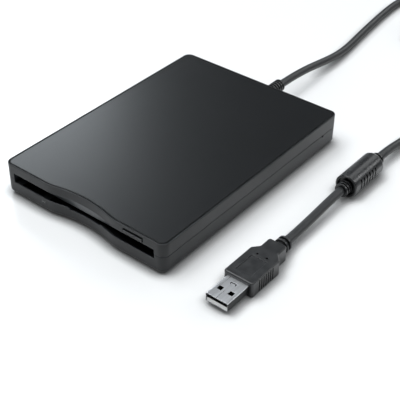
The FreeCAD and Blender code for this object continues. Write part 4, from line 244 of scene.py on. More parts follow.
class Effects:
    """The shared effects, each a node group that is made once."""

    VECTORS = ("Place", "Normal")
    PIT_SMOOTHNESS = 0.6
    PIT_HEIGHT = 0.6
    FINE_HEIGHT = 0.5
    FINE_PITCH = 0.45
    TONE_PITCH = 0.08
    EDGE_COSINES = (0.995, 0.86)
    SKY_SEEN = (0.30, 0.80)
    SHADED_BEHIND = (0.35 * MM, 0.6 * MM)

    def __init__(self) -> None:
        """Make every effect."""
        self.grain = self._grain()
        self.soft_edges = self._soft_edges()
        self.drawing_lines = self._drawing_lines()
        self.crevice_shade = self._crevice_shade()
        self.shade_inside = self._shade_inside()

    @staticmethod
    def _group(name: str, inputs: tuple[str, ...],
               outputs: tuple[str, ...]) -> tuple[Wiring, dict, Node]:
        """Start a node group, whose sockets are vectors or else numbers.

        Args:
            name: the effect's name.
            inputs: the names of its inputs.
            outputs: the names of its outputs.

        Returns:
            The wiring, the input sockets by name, and the node that takes the outputs.
        """
        tree = bpy.data.node_groups.new(name, "ShaderNodeTree")
        for side, labels in (("INPUT", inputs), ("OUTPUT", outputs)):
            for label in labels:
                kind = "Vector" if label in Effects.VECTORS else "Float"
                tree.interface.new_socket(label, in_out=side, socket_type="NodeSocket" + kind)
        wiring = Wiring(tree)
        inside = tree.nodes.new("NodeGroupInput")
        given = {label: inside.outputs[label] for label in inputs}
        return wiring, given, tree.nodes.new("NodeGroupOutput")

    def _grain(self) -> NodeTree:
        """The skin of a spark-eroded mould: rounded pits of two sizes, and slow mottling.

        Returns:
            The node group.
        """
        wiring, given, made = self._group("moulded_grain", ("Place", "Pits", "Clouds"),
                                          ("Height", "Mottle"))
        place = given["Place"]
        pits = wiring.put(wiring.add("TexVoronoi", feature="SMOOTH_F1"), Vector=place,
                          Scale=given["Pits"], Smoothness=self.PIT_SMOOTHNESS)
        fine = wiring.noise(place, wiring.sum_of("MULTIPLY", given["Pits"], self.FINE_PITCH),
                            detail=3.0)
        height = wiring.sum_of("MULTIPLY_ADD", pits.outputs["Distance"], self.PIT_HEIGHT,
                               wiring.sum_of("MULTIPLY", fine, self.FINE_HEIGHT))
        wiring.put(made, Height=height, Mottle=wiring.noise(place, given["Clouds"], detail=4.0))
        return wiring.tree

    def _soft_edges(self) -> NodeTree:
        """Edges rounded to a radius, with a mask that is 1 where the face turns.

        Returns:
            The node group.
        """
        wiring, given, made = self._group("soft_edges", ("Radius",), ("Normal", "Edge"))
        rounded = wiring.put(wiring.add("Bevel", samples=SHADER_SAMPLES), Radius=given["Radius"])
        facing = wiring.cosine(rounded.outputs[0], wiring.add("NewGeometry").outputs["Normal"])
        wiring.put(made, Normal=rounded.outputs[0],
                   Edge=wiring.spread(facing, *self.EDGE_COSINES, 0.0, 1.0, smooth=True))
        return wiring.tree

    def _drawing_lines(self) -> NodeTree:
        """The long fine lines that rolling or turning leaves on metal.

        Returns:
            The node group.
        """
        wiring, given, made = self._group("drawing_lines", ("Place", "Lines"),
                                          ("Height", "Tone"))
        slow = wiring.sum_of("MULTIPLY", given["Lines"], self.TONE_PITCH)
        wiring.put(made, Height=wiring.noise(given["Place"], given["Lines"], detail=3.0),
                   Tone=wiring.noise(given["Place"], slow, detail=5.0))
        return wiring.tree

    def _crevice_shade(self) -> NodeTree:
        """A mask for painted shade: 1 far into narrow hollows, 0 in the open, by how much of the
        sky a point sees.

        Returns:
            The node group.
        """
        wiring, given, made = self._group("crevice_shade", ("Width",), ("Mask",))
        shut = wiring.put(wiring.add("AmbientOcclusion", samples=SHADER_SAMPLES),
                          Distance=given["Width"])
        wiring.put(made, Mask=wiring.spread(shut.outputs["AO"], *self.SKY_SEEN, 1.0, 0.0))
        return wiring.tree

    def _shade_inside(self) -> NodeTree:
        """0 on the faces that show at the mouth of the plug, and 1 on those behind them.

        Returns:
            The node group.
        """
        wiring, given, made = self._group("shade_inside", ("Place", "Mouth"), ("Mask",))
        behind = wiring.sum_of("SUBTRACT", wiring.axis(given["Place"], "Y"), given["Mouth"])
        wiring.put(made, Mask=wiring.spread(behind, *self.SHADED_BEHIND, 0.0, 1.0))
        return wiring.tree


# ---- finishes --------------------------------------------------------------
def shaded(colour: Colour, factor: float, lift: float = 0.0) -> Colour:
    """A colour times a factor plus a lift, no brighter than white."""
    return tuple(min(1.0, c * factor + lift) for c in colour)


def relief(wiring: Wiring, shader: Node, height: NodeSocket, depth: float,
           normal: NodeSocket | None = None) -> None:
    """Raise a pattern on a surface.

    Args:
        wiring: the material's wiring.
        shader: its Principled shader.
        height: socket of the pattern's height, from 0 to 1.
        depth: the pattern's real depth in metres.
        normal: socket of the normal that the pattern lies on.
    """
    bump = wiring.put(wiring.add("Bump"), Strength=1.0, Distance=depth, Height=height)
    if normal is not None:
        wiring.put(bump, Normal=normal)
    wiring.put(shader, Normal=bump.outputs[0])


@dataclass(frozen=True)
class Finish:
    """What every finish has: a name and a material that is made on request."""

    name: str

    def start(self) -> tuple[Material, Wiring, Node]:
        """Start this finish's material.

        Returns:
            The material, its wiring and its Principled shader.
        """
        material = bpy.data.materials.new(self.name + "_finish")
        material.use_nodes = True
        wiring = Wiring(material.node_tree)
        shader = wiring.add("BsdfPrincipled")
        wiring.put(wiring.add("OutputMaterial"), Surface=shader.outputs[0])
        return material, wiring, shader

    def material(self, effects: Effects) -> Material:
        """Make the material.

        Args:
            effects: the shared effects.

        Returns:
            The finished material.
        """
        raise NotImplementedError


@dataclass(frozen=True)
class Moulding(Finish):
    """Injection moulded plastic: grained, a little mottled, with painted shade in its narrow
    hollows.

    Its edges are smoother, and paler by edge_lift: partly wear, partly a painted highlight.
    """

    colour: Colour
    gloss: float = 0.5
    roughness: float = 0.45
    pits: float = 4200.0
    depth: float = 0.006 * MM
    mottle: float = 0.12
    mottle_range: Range = (0.2, 0.8)
    edge_radius: float = 0.25 * MM
    edge_lift: float = 0.35
    edge_sheen: float = 0.004
    edge_polish: float = 0.08
    edge_shadow: float = 0.0
    shadow_full_at: float = 0.4
    rounded: bool = True
    unevenness: float = 0.03
    gap_shade: float = 0.95
    gap_width: float = 1.2 * MM
    gap_dulling: float = 0.5
    mouth: float | None = None

    def material(self, effects: Effects) -> Material:
        """Slow noise takes the colour from 1 - mottle to 1 + mottle times itself.

        Args:
            effects: the shared effects.

        Returns:
            The finished material.
        """
        material, wiring, shader = self.start()
        place = wiring.object_place()
        grain = wiring.use(effects.grain, Place=place, Pits=self.pits, Clouds=CLOUDS)
        edges = wiring.use(effects.soft_edges, Radius=self.edge_radius)
        edge = edges.outputs["Edge"]
        # The edge colour is partly wear and partly a painted highlight.
        wear_and_highlight = shaded(self.colour, 1 + self.edge_lift, self.edge_sheen * self.edge_lift)
        slow = wiring.spread(grain.outputs["Mottle"], *self.mottle_range, 0.0, 1.0, smooth=True)
        body = wiring.blend(slow, shaded(self.colour, 1 - self.mottle),
                            shaded(self.colour, 1 + self.mottle))
        colour = wiring.blend(edge, body, wear_and_highlight)
        if self.mouth is not None:
            inside = wiring.use(effects.shade_inside, Place=place, Mouth=self.mouth)
            colour = wiring.blend(inside.outputs["Mask"], colour, BLACK)
        # Painted shade: where little sky is seen the colour goes black and the gloss goes with it.
        deep_shade = wiring.use(effects.crevice_shade, Width=self.gap_width)
        shade = wiring.sum_of("MULTIPLY", deep_shade.outputs["Mask"], self.gap_shade)
        if self.edge_shadow:
            line = wiring.spread(edge, 0.0, self.shadow_full_at, 0.0, self.edge_shadow)
            shade = wiring.sum_of("MAXIMUM", shade, line)
        rough = wiring.spread(slow, 0.0, 1.0, self.roughness - self.unevenness,
                              self.roughness + self.unevenness)
        smoothed = wiring.sum_of("ADD", rough, wiring.sum_of("MULTIPLY", edge, -self.edge_polish))
        dulled = wiring.sum_of("MULTIPLY", shade, self.gap_dulling)
        wiring.put(shader, Base_Color=wiring.blend(shade, colour, BLACK), Metallic=shade,
                   Roughness=wiring.sum_of("ADD", smoothed, dulled),
                   Specular_IOR_Level=self.gloss)
        relief(wiring, shader, grain.outputs["Height"], self.depth,
               edges.outputs["Normal"] if self.rounded else None)
        return material


@dataclass(frozen=True)
class Vinyl(Finish):
    """Soft vinyl or rubber: dull, faintly rippled along its length, with a slight bloom."""

    colour: Colour
    roughness: float = 0.5
    gloss: float = 0.5
    pits: float = 5200.0
    ripple: float = 260.0
    ripple_height: float = 1.5
    depth: float = 0.012 * MM
    bloom: float = 0.25
    bloom_range: Range = (0.35, 0.75)
    haze: float = 0.002
    unevenness: float = 0.05
    edge_radius: float = 0.2 * MM
    gap_width: float = 1.0 * MM

    def material(self, effects: Effects) -> Material:
        """Height is fine grain plus slow ripple; the bloom pales the colour in patches.

        Args:
            effects: the shared effects.

        Returns:
            The finished material.
        """
        material, wiring, shader = self.start()
        grain = wiring.use(effects.grain, Place=wiring.object_place(), Pits=self.pits,
                           Clouds=self.ripple)
        mottle = grain.outputs["Mottle"]
        edges = wiring.use(effects.soft_edges, Radius=self.edge_radius)
        pale = shaded(self.colour, 1 + self.bloom, self.haze)
        patches = wiring.spread(mottle, *self.bloom_range, 0.0, 1.0)
        body = wiring.blend(patches, self.colour, pale)
        # Painted shade: where little sky is seen the colour goes black and the gloss goes with it.
        deep_shade = wiring.use(effects.crevice_shade, Width=self.gap_width).outputs["Mask"]
        open_colour = wiring.blend(edges.outputs["Edge"], body, pale)
        wiring.put(shader, Base_Color=wiring.blend(deep_shade, open_colour, BLACK), Metallic=deep_shade,
                   Roughness=wiring.wander(mottle, self.roughness - self.unevenness,
                                           self.roughness + self.unevenness),
                   Specular_IOR_Level=self.gloss)
        height = wiring.sum_of("MULTIPLY_ADD", mottle, self.ripple_height,
                               grain.outputs["Height"])
        relief(wiring, shader, height, self.depth, edges.outputs["Normal"])
        return material


class Working(Enum):
    """The way a metal was worked: how much finer its lines are along X, Y and Z."""

    ROLLED = (9.0, 0.12, 9.0)
    TURNED = (1.0, 1.0, 14.0)
    CAST = (1.0, 1.0, 1.0)


@dataclass(frozen=True)
class Metal(Finish):
    """Bare or plated metal with drawing lines, and a painted highlight on its edges."""

    colour: Colour
    roughness: float = 0.3
    worked: Working = Working.ROLLED
    lines: float = 900.0
    depth: float = 0.002 * MM
    tone: float = 0.1
    unevenness: float = 0.2
    metallic: float = 1.0
    edge_radius: float = 0.12 * MM
    mouth: float | None = None
    mouth_shade: Colour = (0.01, 0.009, 0.006)
    side_shade: float = 1.0
    side_shade_range: Range = (0.3, 0.8)

    def material(self, effects: Effects) -> Material:
        """Noise stretched by the working's three factors gives the lines and the tone.

        Upright faces carry painted shade: their colour is scaled down by a factor, except on their
        edges.

        Args:
            effects: the shared effects.

        Returns:
            The finished material.
        """
        material, wiring, shader = self.start()
        place = wiring.object_place()
        lines = wiring.use(effects.drawing_lines, Lines=self.lines,
                           Place=wiring.stretched(place, self.worked.value))
        tone = lines.outputs["Tone"]
        edges = wiring.use(effects.soft_edges, Radius=self.edge_radius)
        bright = shaded(self.colour, 1 + self.tone)
        body = wiring.blend(wiring.wander(tone, 0.0, 1.0), shaded(self.colour, 1 - self.tone),
                            bright)
        # Painted shade on upright faces.
        if self.side_shade < 1.0:
            normal = wiring.add("NewGeometry").outputs["Normal"]
            upright = wiring.spread(wiring.sum_of("ABSOLUTE", wiring.axis(normal, "Z")),
                                    *self.side_shade_range, 1.0, 0.0)
            body = wiring.blend(upright, body, shaded(self.colour, self.side_shade))
        # The edges take the bright tone as a painted highlight.
        colour = wiring.blend(edges.outputs["Edge"], body, bright)
        if self.mouth is not None:
            inside = wiring.use(effects.shade_inside, Place=place, Mouth=self.mouth)
            colour = wiring.blend(inside.outputs["Mask"], colour, self.mouth_shade)
        wiring.put(shader, Base_Color=colour, Metallic=self.metallic,
                   Roughness=wiring.wander(tone, self.roughness * (1 - self.unevenness),
                                           self.roughness * (1 + self.unevenness)))
        relief(wiring, shader, lines.outputs["Height"], self.depth, edges.outputs["Normal"])
        return material


@dataclass(frozen=True)
class ClearMoulding(Finish):
    """Clear plastic with a faint flow pattern inside."""

    colour: Colour
    roughness: float = 0.12
    unevenness: float = 0.3
    see_through: float = 0.85
    cloudiness: float = 0.85
    refraction: float = 1.49
    pits: float = 1500.0
    flow: float = 300.0
    depth: float = 0.002 * MM

    def material(self, effects: Effects) -> Material:
        """The flow pattern is slow noise in the colour and a shallow relief.

        Args:
            effects: the shared effects.

        Returns:
            The finished material.
        """
        material, wiring, shader = self.start()
        grain = wiring.use(effects.grain, Place=wiring.object_place(), Pits=self.pits,
                           Clouds=self.flow)
        mottle = grain.outputs["Mottle"]
        cloudy = shaded(self.colour, self.cloudiness)
        wiring.put(shader, Base_Color=wiring.blend(mottle, self.colour, cloudy),
                   Roughness=wiring.wander(mottle, self.roughness * (1 - self.unevenness),
                                           self.roughness * (1 + self.unevenness)),
                   Transmission_Weight=self.see_through, IOR=self.refraction)
        relief(wiring, shader, grain.outputs["Height"], self.depth)
        return material


@dataclass(frozen=True)
class Laminate(Finish):
    """A circuit board: coated laminate with copper tracks under the coating and plated pads."""

    colour: Colour
    track: Colour
    pad: Colour
    pitch: float = 1.3 * MM
    track_cells: float = 0.35
    pad_cells: float = 0.5
    irregularity: float = 0.55
    track_edge: Range = (0.06, 0.09)
    pad_edge: Range = (0.10, 0.13)
    pad_metal: float = 0.9
    clouds: float = 90.0
    cloud_shade: float = 0.7
    cloud_share: float = 0.4
    roughness: float = 0.32
    unevenness: float = 0.05
    edge_radius: float = 0.1 * MM
    depth: float = 0.02 * MM

    def material(self, effects: Effects) -> Material:
        """Tracks are the thin bands between square cells; pads are dots in some of the cells.

        Args:
            effects: the shared effects.

        Returns:
            The finished material.
        """
        material, wiring, shader = self.start()
        place = wiring.object_place()
        clouds = wiring.noise(place, self.clouds, detail=1.0)
        flat = wiring.stretched(place, (1.0, 1.0, 0.0))
        cells = wiring.add("TexVoronoi", feature="DISTANCE_TO_EDGE", distance="CHEBYCHEV")
        wiring.put(cells, Vector=flat, Scale=self.track_cells / self.pitch,
                   Randomness=self.irregularity)
        tracks = wiring.spread(cells.outputs["Distance"], *self.track_edge, 1.0, 0.0)
        dots = wiring.put(wiring.add("TexVoronoi"), Vector=flat, Scale=self.pad_cells / self.pitch)
        pads = wiring.spread(dots.outputs["Distance"], *self.pad_edge, 1.0, 0.0)
        coat = wiring.blend(wiring.wander(clouds, 0.0, self.cloud_share), self.colour,
                            shaded(self.colour, self.cloud_shade))
        tracked = wiring.blend(tracks, coat, self.track)
        wiring.put(shader, Base_Color=wiring.blend(pads, tracked, self.pad),
                   Metallic=wiring.sum_of("MULTIPLY", pads, self.pad_metal),
                   Roughness=wiring.wander(clouds, self.roughness - self.unevenness,
                                           self.roughness + self.unevenness))
        edges = wiring.use(effects.soft_edges, Radius=self.edge_radius)
        relief(wiring, shader, wiring.sum_of("MAXIMUM", tracks, pads), self.depth,
               edges.outputs["Normal"])
        return material


@dataclass(frozen=True)
class Winding(Finish):
    """Enamelled wire laid turn beside turn round the poles of a motor."""

    wire: Colour
    iron: Colour
    centre: Point
    turns_per_metre: float = 3600.0
    coil_end: Range = (12.8 * MM, 13.0 * MM)
    wire_gap_shade: float = 0.35
    pits: float = 2500.0
    roughness: Range = (0.28, 0.4)
    metallic: float = 0.8
    depth: float = 0.08 * MM

    def material(self, effects: Effects) -> Material:
        """Wires are rings of the distance from the motor's axis; the iron shows at the tips.
        Between the wires the copper is darkened as painted shade.

        Args:
            effects: the shared effects.

        Returns:
            The finished material.
        """
        material, wiring, shader = self.start()
        place = wiring.sum_of("SUBTRACT", wiring.object_place(), self.centre, kind="VectorMath")
        reach = wiring.length_of(wiring.stretched(place, (1.0, 1.0, 0.0)))
        turns = wiring.sum_of("MULTIPLY", reach, self.turns_per_metre * math.tau)
        wave = wiring.sum_of("ABSOLUTE", wiring.sum_of("SINE", turns))
        coiled = wiring.spread(reach, *self.coil_end, 1.0, 0.0)
        grain = wiring.use(effects.grain, Place=wiring.object_place(), Pits=self.pits,
                           Clouds=CLOUDS)
        # Painted shade in the hollows between the wires.
        copper = wiring.blend(wave, shaded(self.wire, self.wire_gap_shade), self.wire)
        wiring.put(shader, Base_Color=wiring.blend(coiled, self.iron, copper),
                   Roughness=wiring.wander(grain.outputs["Mottle"], *self.roughness),
                   Metallic=self.metallic)
        relief(wiring, shader, wiring.sum_of("MULTIPLY", wave, coiled), self.depth)
        return material


@dataclass(frozen=True)
class Film(Finish):
    """Amber film with parallel copper tracks inside it."""

    colour: Colour
    track: Colour
    pitch: float = 0.5 * MM
    track_edge: Range = (-0.1, 0.2)
    roughness: Range = (0.22, 0.32)
    depth: float = 0.03 * MM

    def material(self, effects: Effects) -> Material:
        """Tracks are bands of the place across the film, half a pitch wide.

        Args:
            effects: the shared effects.

        Returns:
            The finished material.
        """
        material, wiring, shader = self.start()
        place = wiring.object_place()
        across = wiring.sum_of("ADD", wiring.axis(place, "X"), wiring.axis(place, "Y"))
        wave = wiring.sum_of("SINE", wiring.sum_of("MULTIPLY", across, math.tau / self.pitch))
        tracks = wiring.spread(wave, *self.track_edge, 0.0, 1.0)
        grain = wiring.use(effects.grain, Place=place, Clouds=CLOUDS)
        wiring.put(shader, Base_Color=wiring.blend(tracks, self.colour, self.track),
                   Roughness=wiring.wander(grain.outputs["Mottle"], *self.roughness))
        relief(wiring, shader, tracks, self.depth)
        return material


FINISHES: tuple[Finish, ...] = (
    # The case's strong edge_lift paints a highlight along its edges.
    Moulding("case_plastic", (0.0100, 0.0112, 0.0125), gloss=0.36, roughness=0.36,
             edge_radius=0.5 * MM, edge_polish=0.16, edge_lift=4.0),
    Moulding("panel_plastic", (0.0060, 0.0068, 0.0076), roughness=0.27, pits=6500.0,
             depth=0.0006 * MM, mottle=0.03, unevenness=0.004, edge_radius=1.4 * MM,
             edge_lift=0.0, edge_shadow=1.0, rounded=False),
    # The door's plastic is painted much paler than the case's, as painted light where it sits in
    # the shade of the mouth.
    Moulding("door_plastic", (0.0900, 0.0970, 0.1020), gloss=0.6, roughness=0.3, gap_shade=0.6),
    Moulding("button_plastic", (0.0140, 0.0150, 0.0165), gloss=0.6, roughness=0.3),
    Moulding("carriage_plastic", (0.030, 0.030, 0.031), roughness=0.55, mottle=0.3),
    Moulding("chip_resin", (0.020, 0.020, 0.021), roughness=0.6, pits=9000.0, mottle=0.2,
             edge_radius=0.1 * MM),
    Moulding("white_plastic", (0.80, 0.80, 0.78), roughness=0.4, mottle=0.03, edge_lift=0.02,
             edge_radius=0.1 * MM),
    Moulding("head_ceramic", (0.33, 0.31, 0.27), gloss=0.6, roughness=0.12, pits=12000.0,
             depth=0.001 * MM, edge_radius=0.05 * MM),
    Moulding("lamp_resin", (0.66, 0.72, 0.55), gloss=0.6, roughness=0.15, mottle=0.06,
             edge_radius=0.1 * MM),
    Vinyl("foot_rubber", (0.012, 0.012, 0.013), roughness=0.75, gloss=0.3),
    Vinyl("cord_vinyl", (0.0150, 0.0160, 0.0175), roughness=0.42),
    Metal("screw_steel", (0.09, 0.09, 0.095), roughness=0.38, worked=Working.TURNED, tone=0.2),
    Metal("sheet_steel", (0.60, 0.61, 0.62), roughness=0.34, depth=0.0007 * MM, tone=0.06),
    Metal("spring_steel", (0.52, 0.53, 0.54), roughness=0.24, worked=Working.CAST),
    Metal("rotor_steel", (0.55, 0.56, 0.58), roughness=0.26, worked=Working.TURNED),
    Metal("bearing_bronze", (0.48, 0.31, 0.15), roughness=0.45, worked=Working.CAST, tone=0.25),
    Metal("magnet_ferrite", (0.055, 0.055, 0.058), roughness=0.6, worked=Working.CAST, tone=0.3,
          metallic=0.35, depth=0.01 * MM),
    # The plug shell's upright sides get painted shade.
    Metal("plug_steel", (0.74, 0.75, 0.77), roughness=0.33, lines=2500.0, depth=0.0006 * MM,
          tone=0.05, side_shade=0.05),
    Metal("contact_gold", (0.83, 0.60, 0.22), roughness=0.22, mouth=PLUG_MOUTH),
    Moulding("insert_plastic", (0.80, 0.80, 0.78), roughness=0.4, mottle=0.03, edge_lift=0.02,
             edge_radius=0.05 * MM, gap_shade=0.0, mouth=PLUG_MOUTH),
    Vinyl("grip_vinyl", (0.0140, 0.0148, 0.0160), roughness=0.34, gloss=0.55,
          edge_radius=0.3 * MM, bloom=0.3),
    Vinyl("bead_vinyl", (0.0150, 0.0158, 0.0170), roughness=0.30, gloss=0.6,
          edge_radius=0.25 * MM, bloom=0.15, gap_width=2.0 * MM),
    ClearMoulding("clear_plastic", (0.05, 0.055, 0.055), see_through=0.3),
    Laminate("board_laminate", (0.012, 0.10, 0.045), (0.03, 0.2, 0.09), (0.75, 0.68, 0.5)),
    Winding("winding_copper", (0.62, 0.25, 0.11), (0.25, 0.25, 0.26), (0.0, -0.020, 0.004)),
    Film("flex_film", (0.42, 0.20, 0.05), (0.62, 0.34, 0.14)),
)


OWN_FINISH: dict[str, str] = {
    "plug_insert": "insert_plastic",
    "plug_grip": "grip_vinyl",
    "bead_cover": "bead_vinyl",
    "strain_relief": "bead_vinyl",
}


class FinishRack:
    """All the finishes, each made once and handed out by its slot's name."""

    def __init__(self) -> None:
        """Make the shared effects and every material."""
        effects = Effects()
        self.materials = {finish.name: finish.material(effects) for finish in FINISHES}

    def dress(self, piece: Object, slot: str) -> None:
        """Give a piece a finish in every slot it has.

        Args:
            piece: a mesh or curve.
            slot: the name of the finish.
        """
        if not piece.material_slots:
            piece.data.materials.append(self.materials[slot])
        for place in piece.material_slots:
            place.material = self.materials[slot]


# ---- the scene round the object --------------------------------------------
def add_object(name: str, data: bpy.types.ID) -> Object:
    """Put camera, lamp, mesh or curve data into the scene.

    Args:
        name: the object's name.
        data: what it shows.

    Returns:
        The linked object, at the origin.
    """
    made = bpy.data.objects.new(name, data)
    bpy.context.scene.collection.objects.link(made)
    return made


def direction(azimuth: float, elevation: float) -> Vector:
    """The unit vector that points along an azimuth and an elevation in degrees."""
    turn, tilt = math.radians(azimuth), math.radians(elevation)
    return Vector((math.cos(turn) * math.cos(tilt), math.sin(turn) * math.cos(tilt),
                   math.sin(tilt)))


@dataclass
class Viewpoint:
    """The camera, by where it stands and how it is turned, in metres and degrees."""

    place: Point = (0.26384, -0.31503, 0.29157)
    azimuth: float = 38.30
    elevation: float = 37.46
    roll: float = 0.71
    lens: float = 86.5
    sensor_width: float = 36.0
    clip_start: float = 0.01
    clip_end: float = 50.0

    def build(self) -> Object:
        """Make the camera.

        Returns:
            The camera, which looks along azimuth and down by elevation, turned by roll.
        """
        turn, tilt, roll = (math.radians(a) for a in (self.azimuth, self.elevation, self.roll))
        ahead = Vector((-math.sin(turn) * math.cos(tilt), math.cos(turn) * math.cos(tilt),
                        -math.sin(tilt)))
        level = Vector((math.cos(turn), math.sin(turn), 0.0))
        above = level.cross(ahead)
        right = math.cos(roll) * level + math.sin(roll) * above
        up = math.cos(roll) * above - math.sin(roll) * level
        data = bpy.data.cameras.new("viewpoint")
        for key in ("lens", "sensor_width", "clip_start", "clip_end"):
            setattr(data, key, getattr(self, key))
        camera = add_object("viewpoint", data)
        basis = Matrix((right, up, -ahead)).transposed().to_4x4()
        camera.matrix_world = Matrix.Translation(Vector(self.place)) @ basis
        bpy.context.scene.camera = camera
        return camera


@dataclass(frozen=True)
class Softbox:
    """A square lamp that shines at the middle of the object."""

    name: str
    azimuth: float
    elevation: float
    radiance: float
    width: float = 0.9
    height: float = 0.9
    tint: Colour = (0.97, 0.99, 1.0)
    distance: float = 2.0
    aim: Point = (0.02, 0.06, 0.0)

    def build(self) -> Object:
        """Make the lamp; its watts are radiance times pi times its area.

        Returns:
            The lamp.
        """
        outward = direction(self.azimuth, self.elevation)
        data = bpy.data.lights.new(self.name, "AREA")
        data.shape = "RECTANGLE"
        data.size, data.size_y = self.width, self.height
        data.energy = self.radiance * math.pi * self.width * self.height
        data.color = self.tint
        lamp = add_object(self.name, data)
        lamp.location = Vector(self.aim) + self.distance * outward
        lamp.rotation_mode = "QUATERNION"
        lamp.rotation_quaternion = outward.to_track_quat("Z", "Y")
        lamp.visible_camera = False
        return lamp


@dataclass
class Studio:
    """A white table in a pale room that is bright on one side and dim on the other."""

    floor_half: float = 4.0
    floor_colour: Colour = (0.74, 0.745, 0.75)
    floor_roughness: float = 0.2
    floor_gloss: float = 0.8
    floor_lift: float = 0.08
    fade_from: float = 0.5
    fade_to: float = 1.2
    contact_width: float = 6.0 * MM
    contact_shade: float = 0.68
    contact_sky: Range = (0.5, 1.0)
    bright_azimuth: float = 215.0
    bright_elevation: float = 15.0
    room_tint: Colour = (0.93, 0.97, 1.0)
    dim: float = 0.03
    bright: float = 0.20
    dim_until: float = -0.15
    bright_from: float = 0.35
    lamps: tuple[Softbox, ...] = (
        Softbox("reflected_softbox", 149.5, 24.0, 4.5, width=0.72, tint=(0.88, 0.95, 1.0)),
        Softbox("back_softbox", 90.0, 31.0, 2.6),
        Softbox("left_softbox", 180.0, 60.0, 5.0),
        Softbox("front_left_softbox", 225.0, 60.0, 6.0),
        Softbox("overhead_softbox", 0.0, 89.0, 4.5),
        Softbox("right_softbox", 5.0, 60.0, 4.6),
        Softbox("rim_softbox", 47.0, 29.0, 5.5, width=0.7, height=0.45),
        Softbox("low_front_softbox", 290.0, 9.0, 0.8),
    )

    def build(self) -> None:
        """Make the table, the room and the lamps."""
        self._table()
        self._room()
        for lamp in self.lamps:
            lamp.build()

    @staticmethod
    def _background_seen(wiring: Wiring) -> NodeSocket:
        """1 for the rays that show the background: from the camera, gloss and clear parts."""
        mirrored = wiring.sum_of("MAXIMUM", wiring.ray("Glossy"), wiring.ray("Transmission"))
        return wiring.sum_of("MAXIMUM", wiring.ray("Camera"), mirrored)

    def _table(self) -> None:
        """A level plane at height 0, lifted to a clean white where it is seen or mirrored.

        Next to what stands on it a painted shadow darkens it, and far off it fades into the white
        background.
        """
        half = self.floor_half
        corners = np.array([(-half, -half, 0), (half, -half, 0), (half, half, 0), (-half, half, 0)])
        table = mesh_object("table", corners, [(0, 1, 2, 3)])
        material = bpy.data.materials.new("table_white")
        material.use_nodes = True
        wiring = Wiring(material.node_tree)
        # Painted shadow: the floor goes dark where things stand close by.
        near = wiring.put(wiring.add("AmbientOcclusion", samples=SHADER_SAMPLES),
                          Distance=self.contact_width)
        contact = wiring.spread(near.outputs["AO"], *self.contact_sky, self.contact_shade, 0.0,
                                smooth=True)
        shader = wiring.put(wiring.add("BsdfPrincipled"), Roughness=self.floor_roughness,
                            Base_Color=wiring.blend(contact, self.floor_colour, BLACK),
                            Specular_IOR_Level=self.floor_gloss)
        lift = wiring.sum_of("MULTIPLY", self._background_seen(wiring), self.floor_lift)
        bare = wiring.sum_of("SUBTRACT", 1.0, contact)
        far = wiring.spread(wiring.length_of(wiring.object_place()), self.fade_from, self.fade_to,
                            0.0, 1.0, smooth=True)
        seen = wiring.sum_of("MULTIPLY", wiring.ray("Camera"), far)
        glow = wiring.put(wiring.add("Emission"),
                          Strength=wiring.sum_of("MULTIPLY_ADD", lift, bare, seen))
        both = wiring.add("AddShader")
        for target, source in zip(both.inputs, (shader, glow)):
            wiring.feed(target, source.outputs[0])
        wiring.put(wiring.add("OutputMaterial"), Surface=both.outputs[0])
        table.data.materials.append(material)

    def _room(self) -> None:
        """White for camera rays; elsewhere it grows with the cosine to the bright direction."""
        world = bpy.data.worlds.new("pale_room")
        bpy.context.scene.world = world
        world.use_nodes = True
        wiring = Wiring(world.node_tree)
        cosine = wiring.cosine(wiring.add("TexCoord").outputs["Generated"],
                               direction(self.bright_azimuth, self.bright_elevation))
        level = wiring.spread(cosine, self.dim_until, self.bright_from, self.dim, self.bright,
                              smooth=True)
        strength = wiring.add("Mix", data_type="FLOAT")
        for place, value in ((0, wiring.ray("Camera")), (2, level), (3, 1.0)):
            wiring.feed(strength.inputs[place], value)
        room = wiring.put(wiring.add("Background"), Strength=strength.outputs[0],
                          Color=wiring.blend(wiring.ray("Camera"), self.room_tint, WHITE))
        wiring.put(wiring.add("OutputWorld"), Surface=room.outputs[0])


def mesh_object(name: str, points: np.ndarray, faces: list) -> Object:
    """Put computed points and faces into a mesh object at the origin.

    Args:
        name: the piece's name.
        points: N by 3 array of points in metres.
        faces: corner indices of each face.

    Returns:
        The linked object.
    """
    mesh = bpy.data.meshes.new(name)
    mesh.from_pydata(np.asarray(points, float).tolist(), [], faces)
    mesh.update()
    return add_object(name, mesh)


def grid_faces(rows: int, columns: int, wrap_rows: bool, wrap_columns: bool) -> np.ndarray:
    """Quads of a grid of points numbered row by row.

    Args:
        rows: rows of points.
        columns: points in a row.
        wrap_rows: join the last row to the first.
        wrap_columns: join each row's last point to its first.

    Returns:
        F by 4 array of corner indices, facing along column direction cross row direction.
    """
    row = np.arange(rows if wrap_rows else rows - 1)[:, None]
    column = np.arange(columns if wrap_columns else columns - 1)[None, :]
    next_row, next_column = (row + 1) % rows, (column + 1) % columns
    quads = (row * columns + column, row * columns + next_column,
             next_row * columns + next_column, next_row * columns + column)
    return np.stack([np.broadcast_to(q, (row.size, column.size)) for q in quads], -1).reshape(-1, 4)


